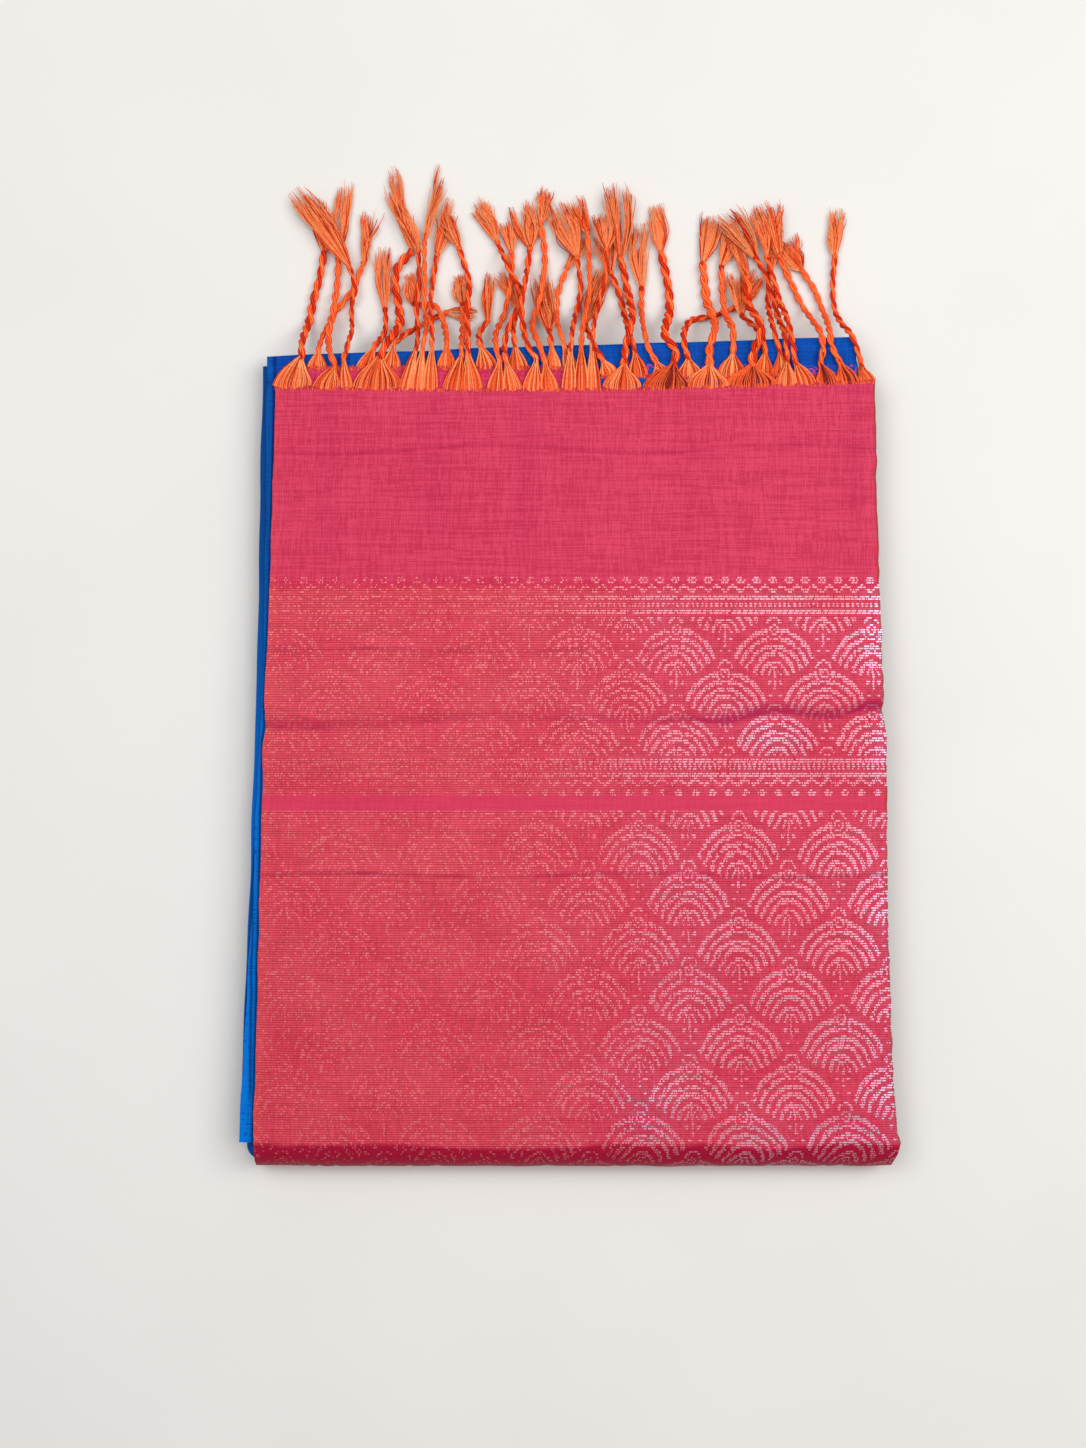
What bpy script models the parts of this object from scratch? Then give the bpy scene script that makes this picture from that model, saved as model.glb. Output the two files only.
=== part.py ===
"""A folded silk saree with twisted tassels on its end piece, lying flat.

The saree is folded in four across its width and many times along its length. Its rose end
piece, the pallu, lies on top, turns round the bottom fold and comes back underneath. Blue
folds of the body show past it at the left and at the tassel end.

Metres, +Z up. +Y runs towards the tassels and +X to the right of someone who looks down on
the pallu. The origin is on the floor under the middle of the cloth and its tassels.
"""

import math
from typing import NamedTuple

import bmesh
import bpy
from mathutils import Vector

MM = 0.001

# Walls, hollows and clearances
PALLU_WALL = 1.2 * MM
SECOND_WALL = 2.3 * MM
BODY_WALL = 1.0 * MM
FOLD_HOLLOW = 0.4 * MM
LAY_GAP = 0.3 * MM
FLOOR_CLEAR = 0.8 * MM
BODY_FOLD_DEPTH = 2.0 * BODY_WALL + FOLD_HOLLOW

# The heap of hidden plies under the sheets that show
HEAP_BASE = PALLU_WALL + LAY_GAP
HEAP_AT_TASSELS = 10.1 * MM
HEAP_AT_FOLD = 14.0 * MM
HEAP_MIDDLE_X = 2.0 * MM
HEAP_HALF_WIDTH = 147.0 * MM
SIDE_DROP = 2.4 * MM
SIDE_DROP_POWER = 6
UNEVEN = 0.35 * MM
UNEVEN_WAVE_X = 118.0 * MM
UNEVEN_WAVE_Y = 171.0 * MM

# The layered edges of the heap
PLY_GROOVE = 1.3 * MM
PLY_ROUND = 0.22
HEAP_RIGHT_X = 146.0 * MM
HEAP_RIGHT_NARROWING = 7.0 * MM
HEAP_HEAD_LEFT_Y = 143.0 * MM
HEAP_HEAD_RIGHT_Y = 151.0 * MM
HEAP_CORNER = 7.0 * MM
HEAP_CORNER_STEPS = 3
HEAP_SIDE_STEPS = 7
HEAP_CAP_SHARES = (0.965, 0.9, 0.8, 0.65, 0.45, 0.2)

# Height of each sheet's upper face above the heap
LOWER_FOLD_TOP = LAY_GAP + BODY_FOLD_DEPTH
UPPER_FOLD_TOP = LOWER_FOLD_TOP + LAY_GAP + BODY_FOLD_DEPTH
INNER_BORDER_TOP = UPPER_FOLD_TOP + LAY_GAP + BODY_WALL
SECOND_TOP = UPPER_FOLD_TOP + LAY_GAP + SECOND_WALL
PALLU_TOP = SECOND_TOP + LAY_GAP + PALLU_WALL

# The bottom fold of the pallu
FOLD_REACH_Y = -235.9 * MM
FOLD_RADIUS = 12.5 * MM
FOLD_START_Y = FOLD_REACH_Y + FOLD_RADIUS
FOLD_STEPS = 8
UNDERSIDE_END_Y = 136.0 * MM
UNDERSIDE_INSET = 2.0 * MM
UNDERSIDE_STEPS = 5

# How finely the sheets are divided
PALLU_COLUMNS = 18
PALLU_PLAIN_STEP = 17.0 * MM
SHARP_CREASE_SPREAD = 5.0
CREASE_ROW_SHARES = (-1.3, -0.6, 0.0, 0.6, 1.3)
CREASE_PULL = 14.0 * MM
SHEET_COLUMNS = 12
SHEET_ROWS = 13

# The pallu's woven end, a shallow curve across its width
PALLU_END_Y = 127.0 * MM
PALLU_END_CURVE = 2.7 * MM
PALLU_END_TILT = 1.2 * MM
PALLU_HALF_WIDTH = 142.0 * MM

# How far the other folds reach
SECOND_LEFT_X = -136.0 * MM
SECOND_RIGHT_X = 14.6 * MM
SECOND_END_Y = 137.3 * MM
BORDER_LEFT_X = 15.0 * MM
BORDER_RIGHT_X = 136.0 * MM
BORDER_END_Y = 133.6 * MM
INNER_BORDER_LEFT_X = 24.5 * MM
INNER_BORDER_RIGHT_X = 135.0 * MM
INNER_BORDER_END_Y = 140.7 * MM
SHEET_FOOT_Y = -222.0 * MM
UPPER_FOLD_LEFT_END_Y = 145.2 * MM
UPPER_FOLD_RIGHT_END_Y = 154.1 * MM
UPPER_FOLD_FOOT_Y = -224.0 * MM
UPPER_FOLD_RETURN = 60.0 * MM
LOWER_FOLD_HEAD_Y = 140.5 * MM
LOWER_FOLD_FOOT_Y = -215.0 * MM
LOWER_FOLD_RETURN = 50.0 * MM
TURN_STEPS = 4

# Tassels
STRIP_GAP = LAY_GAP
STRIP_DEPTH = 1.8 * MM
STRIP_HEIGHT = 1.1 * MM
CORD_HALF_WIDTH = 1.2 * MM
CORD_HALF_HEIGHT = 0.95 * MM
KNOT_HALF = 1.4 * MM
KNOT_STAND = 1.9 * MM
CORD_STAND = 1.4 * MM
FAN_HALF_HEIGHT = 0.5 * MM
# Shares of a fan's length, ring by ring
FAN_SHARES = (0.0, 0.3, 0.6, 0.85)
FAN_POWER = 1.5
BRUSH_HALF_HEIGHT = 1.0 * MM
# Shares of a brush's length, width and height, ring by ring
BRUSH_SHAPE = ((0.22, 0.6, 1.0), (0.55, 0.95, 1.0), (0.85, 1.0, 0.8), (1.0, 0.8, 0.45))
TWIST_PER_RING = math.radians(48.0)
RING_SPACING = 5.0 * MM
STRAND_GAP = 0.45 * MM
STRAND_SLOPE = 1.0
FILL_STEPS = 4
LOOK_AROUND = 1.0 * MM

# Finishes: colour, roughness
ROSE = (0.66, 0.055, 0.12)
BLUE = (0.01, 0.075, 0.46)
ORANGE = (0.83, 0.12, 0.02)
SILK_ROUGHNESS = 0.45


class Edge(NamedTuple):
    """Where a sheet's left and right edges lie at one place along the saree."""

    y: float
    left: float
    right: float


class Crease(NamedTuple):
    """A crease across the pallu: where it lies, how it bends and how high or deep it is."""

    y: float
    tilt: float
    bend: float
    height: float
    spread: float
    fade_left: float
    fade_middle: float
    fade_right: float


class Ply(NamedTuple):
    """One visible bundle of plies at the heap's edge, as shares of its height and insets."""

    foot: float
    head: float
    left_inset: float
    right_inset: float
    end_inset: float


class Strand(NamedTuple):
    """A tassel: the width of warp it gathers, the way its cord lies and its brush."""

    root_x: float
    root_width: float
    route: tuple
    tip: tuple
    brush_width: float


PALLU_EDGES = (
    Edge(y=131.0, left=-136.8, right=143.3),
    Edge(y=76.0, left=-138.3, right=144.2),
    Edge(y=30.0, left=-139.8, right=145.6),
    Edge(y=-17.0, left=-141.8, right=147.2),
    Edge(y=-27.0, left=-141.4, right=146.2),
    Edge(y=-36.0, left=-142.4, right=148.4),
    Edge(y=-110.0, left=-144.0, right=148.9),
    Edge(y=-157.0, left=-145.2, right=150.3),
    Edge(y=-194.0, left=-146.1, right=151.4),
    Edge(y=-217.0, left=-146.8, right=153.3),
    Edge(y=-223.4, left=-147.0, right=155.0),
    Edge(y=-236.0, left=-146.4, right=151.5),
)
UPPER_FOLD_EDGES = (
    Edge(y=154.0, left=-141.5, right=135.0),
    Edge(y=60.0, left=-142.2, right=137.0),
    Edge(y=0.0, left=-143.2, right=139.0),
    Edge(y=-100.0, left=-147.6, right=141.0),
    Edge(y=-224.0, left=-154.4, right=143.0),
)
LOWER_FOLD_EDGES = (
    Edge(y=154.0, left=-144.3, right=130.0),
    Edge(y=0.0, left=-147.0, right=134.0),
    Edge(y=-100.0, left=-150.2, right=137.0),
    Edge(y=-215.0, left=-155.0, right=140.0),
)

CREASES = (
    Crease(y=101.0, tilt=0.5, bend=-1.6, height=0.45, spread=2.6,
           fade_left=1.0, fade_middle=0.8, fade_right=1.0),
    Crease(y=7.5, tilt=0.0, bend=0.8, height=0.4, spread=3.0,
           fade_left=1.0, fade_middle=0.7, fade_right=0.2),
    Crease(y=-14.0, tilt=3.0, bend=0.0, height=1.5, spread=13.0,
           fade_left=0.9, fade_middle=0.5, fade_right=1.0),
    Crease(y=-25.5, tilt=3.0, bend=-1.5, height=-1.1, spread=2.4,
           fade_left=0.8, fade_middle=0.3, fade_right=1.0),
    Crease(y=-38.0, tilt=2.0, bend=0.0, height=1.2, spread=12.0,
           fade_left=0.9, fade_middle=0.4, fade_right=1.0),
    Crease(y=-97.5, tilt=0.0, bend=0.9, height=0.5, spread=2.6,
           fade_left=1.0, fade_middle=0.8, fade_right=0.9),
    Crease(y=-206.0, tilt=0.0, bend=2.0, height=0.6, spread=9.0,
           fade_left=0.5, fade_middle=1.0, fade_right=0.8),
)

PLIES = (
    Ply(foot=0.00, head=0.17, left_inset=6.0, right_inset=2.5, end_inset=6.0),
    Ply(foot=0.17, head=0.38, left_inset=4.0, right_inset=4.5, end_inset=2.5),
    Ply(foot=0.38, head=0.55, left_inset=5.5, right_inset=1.5, end_inset=4.0),
    Ply(foot=0.55, head=0.80, left_inset=3.0, right_inset=3.5, end_inset=1.5),
    Ply(foot=0.80, head=1.00, left_inset=4.6, right_inset=2.0, end_inset=3.2),
)

FRONT_STRANDS = (
    Strand(root_x=-129.3, root_width=15.0, tip=(-120, 221), brush_width=5.0,
           route=((-125, 144), (-125, 153), (-123, 164), (-121, 174), (-118, 185), (-116, 197))),
    Strand(root_x=-112.6, root_width=11.0, tip=(-106, 228), brush_width=6.5,
           route=((-109, 139), (-112, 147), (-113, 155), (-111, 170), (-110, 179), (-109, 195))),
    Strand(root_x=-103.7, root_width=4.0, tip=(-129, 223), brush_width=9.0,
           route=((-105, 142), (-103, 151), (-102, 157), (-103, 170), (-101, 179), (-104, 189))),
    Strand(root_x=-89.3, root_width=19.0, tip=(-85, 235.4), brush_width=5.5,
           route=((-88, 144), (-84, 153), (-80, 162), (-82, 180), (-81, 189), (-74, 197))),
    Strand(root_x=-76.2, root_width=5.0, tip=(-80, 218), brush_width=4.0,
           route=((-71, 149), (-71, 157), (-72, 170), (-71, 179), (-71, 197))),
    Strand(root_x=-70.2, root_width=5.0, tip=(-58, 235.4), brush_width=4.5,
           route=((-68, 149), (-67, 157), (-68, 170), (-68, 184), (-68, 200))),
    Strand(root_x=-64.6, root_width=5.0, tip=(-55, 220), brush_width=5.0,
           route=((-64, 149), (-64, 157), (-65, 170), (-64, 185), (-62, 196))),
    Strand(root_x=-53.8, root_width=8.0, tip=(-53, 185), brush_width=5.0,
           route=((-50, 144), (-50, 153), (-50, 163), (-50, 172))),
    Strand(root_x=-45.0, root_width=8.0, tip=(-59, 213), brush_width=4.5,
           route=((-47, 146), (-47, 155), (-48, 165), (-47, 181), (-52, 199))),
    Strand(root_x=-33.3, root_width=7.0, tip=(-30, 211), brush_width=5.0,
           route=((-32, 141), (-34, 149), (-34, 157), (-30, 168), (-27, 184), (-27, 197))),
    Strand(root_x=-25.6, root_width=6.6, tip=(-42, 222), brush_width=6.5,
           route=((-29, 141), (-30, 149), (-28, 158), (-22, 175), (-27, 185), (-34, 202))),
    Strand(root_x=-17.0, root_width=7.0, tip=(-22, 220), brush_width=7.5,
           route=((-15, 142), (-19, 149), (-21, 157), (-22, 167), (-20, 183), (-18, 199))),
    Strand(root_x=-9.1, root_width=7.0, tip=(-12, 227), brush_width=5.5,
           route=((-11, 140), (-13, 147), (-17, 160), (-13, 175), (-11, 193), (-13, 211))),
    Strand(root_x=0.2, root_width=4.8, tip=(-6, 218), brush_width=10.0,
           route=((1, 147), (2, 158), (4, 168), (6, 179), (4, 194))),
    Strand(root_x=5.9, root_width=4.8, tip=(3, 222), brush_width=4.5,
           route=((6, 149), (7, 160), (10, 175), (10, 192), (9, 206))),
    Strand(root_x=11.6, root_width=4.8, tip=(17, 215), brush_width=7.5,
           route=((11, 149), (12, 160), (15, 173), (18, 186), (18, 197))),
    Strand(root_x=24.9, root_width=15.0, tip=(24, 227), brush_width=7.5,
           route=((26, 140), (27, 150), (30, 163), (28, 179), (25, 194))),
    Strand(root_x=45.9, root_width=19.0, tip=(41, 218), brush_width=5.5,
           route=((49, 140), (50, 147), (45, 154), (48, 167), (48, 178), (44, 197))),
    Strand(root_x=65.0, root_width=18.0, tip=(68, 214), brush_width=8.0,
           route=((66, 140), (66, 148), (69, 160), (66, 173), (64, 192))),
    Strand(root_x=85.5, root_width=20.6, tip=(79, 203), brush_width=3.5,
           route=((86, 140), (87, 147), (90, 156), (85, 169), (85, 184))),
    Strand(root_x=101.8, root_width=8.0, tip=(75, 214), brush_width=6.0,
           route=((102, 141), (101, 155), (98, 169), (94, 184), (89, 194))),
    Strand(root_x=110.7, root_width=7.8, tip=(88, 217), brush_width=6.0,
           route=((106, 141), (104, 152), (101, 166), (97, 182), (94, 194))),
    Strand(root_x=120.9, root_width=8.0, tip=(95, 219), brush_width=5.0,
           route=((118, 140), (119, 151), (114, 165), (108, 178), (100, 195))),
    Strand(root_x=130.7, root_width=8.0, tip=(104, 202), brush_width=7.5,
           route=((127, 141), (123, 150), (122, 163), (118, 177), (111, 188))),
    Strand(root_x=139.8, root_width=6.0, tip=(129, 216), brush_width=5.5,
           route=((137, 141), (134, 151), (128, 163), (126, 178), (127, 195))),
)
SECOND_LEFT_STRANDS = (
    Strand(root_x=-117.7, root_width=7.0, tip=(-96, 215), brush_width=4.0,
           route=((-117, 147), (-116, 155), (-112, 166), (-103, 178), (-97, 192))),
    Strand(root_x=-94.8, root_width=7.0, tip=(-89, 197), brush_width=4.0,
           route=((-91, 148), (-87, 157), (-87, 170))),
    Strand(root_x=-83.2, root_width=7.0, tip=(-44, 167), brush_width=4.0,
           route=((-82, 149), (-77, 156), (-66, 164), (-57, 168))),
    Strand(root_x=-57.1, root_width=7.0, tip=(-76, 186), brush_width=5.0,
           route=((-57, 149), (-58, 158), (-63, 170), (-74, 172))),
    Strand(root_x=-38.0, root_width=8.0, tip=(-38, 186), brush_width=4.0,
           route=((-41, 149), (-42, 156), (-38, 164))),
    Strand(root_x=-23.6, root_width=7.0, tip=(-31, 187), brush_width=5.5,
           route=((-25, 149), (-26, 158), (-24, 170))),
    Strand(root_x=-6.6, root_width=5.0, tip=(-12, 184), brush_width=6.0,
           route=((-8, 149), (-9, 157))),
    Strand(root_x=1.0, root_width=5.0, tip=(8, 203), brush_width=4.0,
           route=((-2, 149), (-5, 160), (-5, 176), (0, 190))),
)
SECOND_RIGHT_STRANDS = (
    Strand(root_x=19.4, root_width=7.0, tip=(17, 190), brush_width=6.0,
           route=((16, 142), (11, 151), (8, 162))),
    Strand(root_x=32.6, root_width=7.0, tip=(18, 204), brush_width=6.5,
           route=((31, 146), (28, 158), (25, 175), (20, 187))),
    Strand(root_x=43.6, root_width=6.0, tip=(33, 208), brush_width=6.0,
           route=((41, 141), (37, 149), (35, 162), (35, 180))),
    Strand(root_x=56.6, root_width=9.0, tip=(91, 186), brush_width=4.5,
           route=((56, 143), (54, 152), (58, 163), (72, 167), (84, 172))),
    Strand(root_x=76.2, root_width=11.0, tip=(80, 210), brush_width=6.0,
           route=((77, 146), (77, 156), (74, 168), (73, 190))),
    Strand(root_x=91.0, root_width=7.0, tip=(79, 188), brush_width=6.0,
           route=((92, 146), (90, 155), (82, 166))),
    Strand(root_x=99.6, root_width=6.0, tip=(97, 212), brush_width=5.0,
           route=((99, 146), (96, 157), (95, 172), (96, 188))),
)


def blend(share: float) -> float:
    """Ease from 0 to 1 with level ends."""
    share = min(max(share, 0.0), 1.0)
    return share * share * (3.0 - 2.0 * share)


def edge_at(table: tuple, y: float) -> tuple:
    """Left and right edge of a sheet at y, read between the table's rows."""
    rows = [Edge(row.y * MM, row.left * MM, row.right * MM) for row in table]
    if y >= rows[0].y:
        return rows[0].left, rows[0].right
    for upper, lower in zip(rows, rows[1:]):
        if y >= lower.y:
            share = (upper.y - y) / (upper.y - lower.y)
            left = upper.left + share * (lower.left - upper.left)
            right = upper.right + share * (lower.right - upper.right)
            return left, right
    return rows[-1].left, rows[-1].right


def heap_top(x: float, y: float) -> float:
    """Upper face of the hidden plies: thicker at the bottom fold and falling at the sides."""
    along = (SECOND_END_Y - y) / (SECOND_END_Y - FOLD_START_Y)
    depth = HEAP_AT_TASSELS + (HEAP_AT_FOLD - HEAP_AT_TASSELS) * min(max(along, -0.1), 1.0)
    side = min(abs(x - HEAP_MIDDLE_X) / HEAP_HALF_WIDTH, 1.08)
    drop = SIDE_DROP * side**SIDE_DROP_POWER
    wave = math.sin(math.tau * x / UNEVEN_WAVE_X + 0.7) * math.sin(math.tau * y / UNEVEN_WAVE_Y + 1.9)
    return HEAP_BASE + depth - drop + UNEVEN * wave


def pallu_end(x: float) -> float:
    """Where the pallu's woven end lies at x."""
    share = x / PALLU_HALF_WIDTH
    return PALLU_END_Y + PALLU_END_CURVE * share * share + PALLU_END_TILT * share


def upper_fold_end(x: float) -> float:
    """Where the upper body fold turns over at x."""
    left, right = edge_at(UPPER_FOLD_EDGES, UPPER_FOLD_RIGHT_END_Y)
    share = (x - left) / (right - left)
    return UPPER_FOLD_LEFT_END_Y + (UPPER_FOLD_RIGHT_END_Y - UPPER_FOLD_LEFT_END_Y) * share


def crease_line(crease: Crease, x: float) -> float:
    """The y of a crease at x."""
    share = x / PALLU_HALF_WIDTH
    return (crease.y + crease.tilt * share + crease.bend * math.sin(math.tau * share)) * MM


def crease_rise(x: float, y: float) -> float:
    """How far the creases lift or sink the pallu at a point, never below the sheet under it."""
    share = min(max(x / PALLU_HALF_WIDTH, -1.0), 1.0)
    rise = 0.0
    for crease in CREASES:
        end_fade = crease.fade_left if share < 0.0 else crease.fade_right
        fade = crease.fade_middle + (end_fade - crease.fade_middle) * blend(abs(share))
        away = (y - crease_line(crease, x)) / (crease.spread * MM)
        rise += crease.height * MM * fade * math.exp(-away * away)
    return max(rise, 0.0)


def make_material(name: str, colour: tuple, roughness: float):
    """A plain silk or thread finish."""
    material = bpy.data.materials.new(name)
    material.use_nodes = True
    shader = material.node_tree.nodes["Principled BSDF"]
    shader.inputs["Base Color"].default_value = (*colour, 1.0)
    shader.inputs["Roughness"].default_value = roughness
    shader.inputs["Metallic"].default_value = 0.0
    material.diffuse_color = (*colour, 1.0)
    return material


def lay_cloth(name: str, columns: int, rows: int, place, wall: float, material, collection):
    """Shape a grid by place(column share, row) and thicken it inwards into a cloth wall."""
    shape = bmesh.new()
    bmesh.ops.create_grid(shape, x_segments=columns, y_segments=rows, size=0.5)
    for vertex in shape.verts:
        column_share = vertex.co.x + 0.5
        row = round((vertex.co.y + 0.5) * rows)
        vertex.co = place(column_share, row)
    shape.faces.ensure_lookup_table()
    shape.normal_update()
    if shape.faces[0].normal.z < 0.0:
        bmesh.ops.reverse_faces(shape, faces=shape.faces)
    mesh = bpy.data.meshes.new(name)
    shape.to_mesh(mesh)
    shape.free()
    mesh.materials.append(material)
    piece = bpy.data.objects.new(name, mesh)
    collection.objects.link(piece)
    thicken = piece.modifiers.new("Cloth wall", "SOLIDIFY")
    thicken.thickness = wall
    thicken.offset = -1.0
    thicken.use_even_offset = True
    mesh.shade_smooth()
    return piece


def spaced(first: float, last: float, count: int) -> list:
    """Evenly spaced values, both ends included."""
    return [first + (last - first) * step / (count - 1) for step in range(count)]


def side_shares(count: int) -> list:
    """Shares of a sheet's width, closer together near both sides."""
    return [0.5 - 0.5 * math.copysign(abs(value) ** 0.8, value) for value in spaced(1.0, -1.0, count)]


def pallu_rows() -> list:
    """Row positions along the pallu's upper face: even ones, and closer ones at sharp creases."""
    sharp = [crease for crease in CREASES if crease.spread < SHARP_CREASE_SPREAD]
    rows = set()
    for crease in sharp:
        for share in CREASE_ROW_SHARES:
            rows.add(crease.y * MM + share * crease.spread * MM)
    steps = round((PALLU_END_Y - FOLD_START_Y) / PALLU_PLAIN_STEP)
    for plain in spaced(PALLU_END_Y, FOLD_START_Y, steps + 1):
        if all(abs(plain - crease.y * MM) > 1.9 * crease.spread * MM for crease in sharp):
            rows.add(plain)
    return sorted(rows, reverse=True)


def follow_creases(x: float, y: float) -> float:
    """Bend a row so that the rows by a crease run along it."""
    moved = y
    for crease in CREASES:
        if crease.spread < SHARP_CREASE_SPREAD:
            away = (y - crease.y * MM) / CREASE_PULL
            moved += (crease_line(crease, x) - crease.y * MM) * math.exp(-away * away)
    return moved


def make_pallu_front(material, collection):
    """The pallu: top face with creases, round the bottom fold, and back as the flat underside."""
    top_rows = pallu_rows()
    top_count = len(top_rows)
    under_rows = spaced(FOLD_START_Y, UNDERSIDE_END_Y, UNDERSIDE_STEPS + 1)[1:]
    shares = side_shares(PALLU_COLUMNS + 1)

    def place(column_share: float, row: int) -> Vector:
        share = shares[round(column_share * PALLU_COLUMNS)]
        if row < top_count:
            left, right = edge_at(PALLU_EDGES, top_rows[row])
            x = left + (right - left) * share
            y = follow_creases(x, top_rows[row])
            end_shift = blend((y - crease_line(CREASES[0], x)) / (PALLU_END_Y - CREASES[0].y * MM))
            y += (pallu_end(x) - PALLU_END_Y) * end_shift
            if row == top_count - 1:
                y = FOLD_START_Y
            return Vector((x, y, heap_top(x, y) + PALLU_TOP + crease_rise(x, y)))
        if row < top_count + FOLD_STEPS:
            turn = math.pi * (row - top_count + 1) / FOLD_STEPS
            y = FOLD_START_Y - FOLD_RADIUS * math.sin(turn)
            left, right = edge_at(PALLU_EDGES, y)
            x = left + (right - left) * share
            half = 0.5 * (heap_top(x, FOLD_START_Y) + PALLU_TOP + crease_rise(x, FOLD_START_Y))
            return Vector((x, y, half + half * math.cos(turn)))
        y = under_rows[row - top_count - FOLD_STEPS]
        left, right = edge_at(PALLU_EDGES, y)
        left += UNDERSIDE_INSET
        right -= UNDERSIDE_INSET
        return Vector((left + (right - left) * share, y, 0.0))

    rows = top_count + FOLD_STEPS + len(under_rows) - 1
    return lay_cloth("pallu_front", PALLU_COLUMNS, rows, place, PALLU_WALL, material, collection)


def make_flat_sheet(name: str, left: float, right: float, foot: float, head: float, top: float,
                    wall: float, columns: int, rows: int, material, collection):
    """A single ply that lies on the heap between four edges."""
    def place(column_share: float, row: int) -> Vector:
        x = left + (right - left) * column_share
        y = head + (foot - head) * row / rows
        return Vector((x, y, heap_top(x, y) + top))

    return lay_cloth(name, columns, rows, place, wall, material, collection)


def make_pallu_second(material, collection):
    """The second width fold of the pallu, whose woven end shows past the first."""
    return make_flat_sheet("pallu_second", SECOND_LEFT_X, SECOND_RIGHT_X, SHEET_FOOT_Y, SECOND_END_Y,
                           SECOND_TOP, SECOND_WALL, SHEET_COLUMNS // 2, SHEET_ROWS, material, collection)


def make_border_fold(material, collection):
    """The blue border of the second fold, beside its rose part and running all along it."""
    return make_flat_sheet("border_fold", BORDER_LEFT_X, BORDER_RIGHT_X, SHEET_FOOT_Y, BORDER_END_Y,
                           SECOND_TOP, BODY_WALL, SHEET_COLUMNS // 2, SHEET_ROWS, material, collection)


def make_border_inner_fold(material, collection):
    """The flecked blue fold below the border."""
    return make_flat_sheet("border_inner_fold", INNER_BORDER_LEFT_X, INNER_BORDER_RIGHT_X, SHEET_FOOT_Y,
                           INNER_BORDER_END_Y, INNER_BORDER_TOP, BODY_WALL, SHEET_COLUMNS // 2,
                           SHEET_ROWS, material, collection)


def turn_over(edge: float, top: float, sign: float, step: int) -> tuple:
    """A point round a small fold: its place along the sheet and its height above the heap."""
    radius = 0.5 * BODY_FOLD_DEPTH
    angle = math.pi * step / TURN_STEPS
    place = edge - sign * radius + sign * radius * math.sin(angle)
    return place, top - radius + radius * math.cos(angle)


def make_body_upper_fold(material, collection):
    """The blue body, turned over and tucked back at the tassel end."""
    top_count = SHEET_ROWS
    return_rows = 3
    radius = 0.5 * BODY_FOLD_DEPTH
    shares = side_shares(SHEET_COLUMNS + 1)

    def place(column_share: float, row: int) -> Vector:
        head_left, head_right = edge_at(UPPER_FOLD_EDGES, UPPER_FOLD_RIGHT_END_Y)
        end = upper_fold_end(head_left + (head_right - head_left) * column_share)
        if row <= top_count:
            y = UPPER_FOLD_FOOT_Y + (end - radius - UPPER_FOLD_FOOT_Y) * row / top_count
            rise = UPPER_FOLD_TOP
        elif row <= top_count + TURN_STEPS:
            y, rise = turn_over(end, UPPER_FOLD_TOP, 1.0, row - top_count)
        else:
            share = (row - top_count - TURN_STEPS) / return_rows
            y = end - radius - UPPER_FOLD_RETURN * share
            rise = UPPER_FOLD_TOP - BODY_FOLD_DEPTH
        left, right = edge_at(UPPER_FOLD_EDGES, y)
        x = left + (right - left) * shares[round(column_share * SHEET_COLUMNS)]
        return Vector((x, y, heap_top(x, y) + rise))

    rows = top_count + TURN_STEPS + return_rows
    return lay_cloth("body_upper_fold", SHEET_COLUMNS, rows, place, BODY_WALL, material, collection)


def make_body_lower_fold(material, collection):
    """The blue body below it, turned over and tucked back along the left side."""
    top_count = 8
    return_rows = 4
    length_steps = SHEET_ROWS
    radius = 0.5 * BODY_FOLD_DEPTH

    def place(column_share: float, row: int) -> Vector:
        y = LOWER_FOLD_FOOT_Y + (LOWER_FOLD_HEAD_Y - LOWER_FOLD_FOOT_Y) * column_share
        left, right = edge_at(LOWER_FOLD_EDGES, y)
        if row <= top_count:
            share = (row / top_count) ** 0.7
            x = right + (left + radius - right) * share
            rise = LOWER_FOLD_TOP
        elif row <= top_count + TURN_STEPS:
            x, rise = turn_over(left, LOWER_FOLD_TOP, -1.0, row - top_count)
        else:
            share = ((row - top_count - TURN_STEPS) / return_rows) ** 1.4
            x = left + radius + LOWER_FOLD_RETURN * share
            rise = LOWER_FOLD_TOP - BODY_FOLD_DEPTH
        return Vector((x, y, heap_top(x, y) + rise))

    rows = top_count + TURN_STEPS + return_rows
    return lay_cloth("body_lower_fold", length_steps, rows, place, BODY_WALL, material, collection)


def fold_room(height: float) -> float:
    """How far the heap may reach into the bottom fold at a share of its height."""
    side_x = HEAP_MIDDLE_X + HEAP_HALF_WIDTH
    roof = heap_top(side_x, FOLD_START_Y) + PALLU_TOP
    tall = 0.5 * roof - PALLU_WALL - 2.0 * LAY_GAP
    deep = FOLD_RADIUS - PALLU_WALL - 2.0 * LAY_GAP
    z = HEAP_BASE + height * (heap_top(side_x, FOLD_START_Y) - HEAP_BASE)
    away = (z - 0.5 * roof) / tall
    return deep * math.sqrt(max(0.0, 1.0 - away * away))


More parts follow.
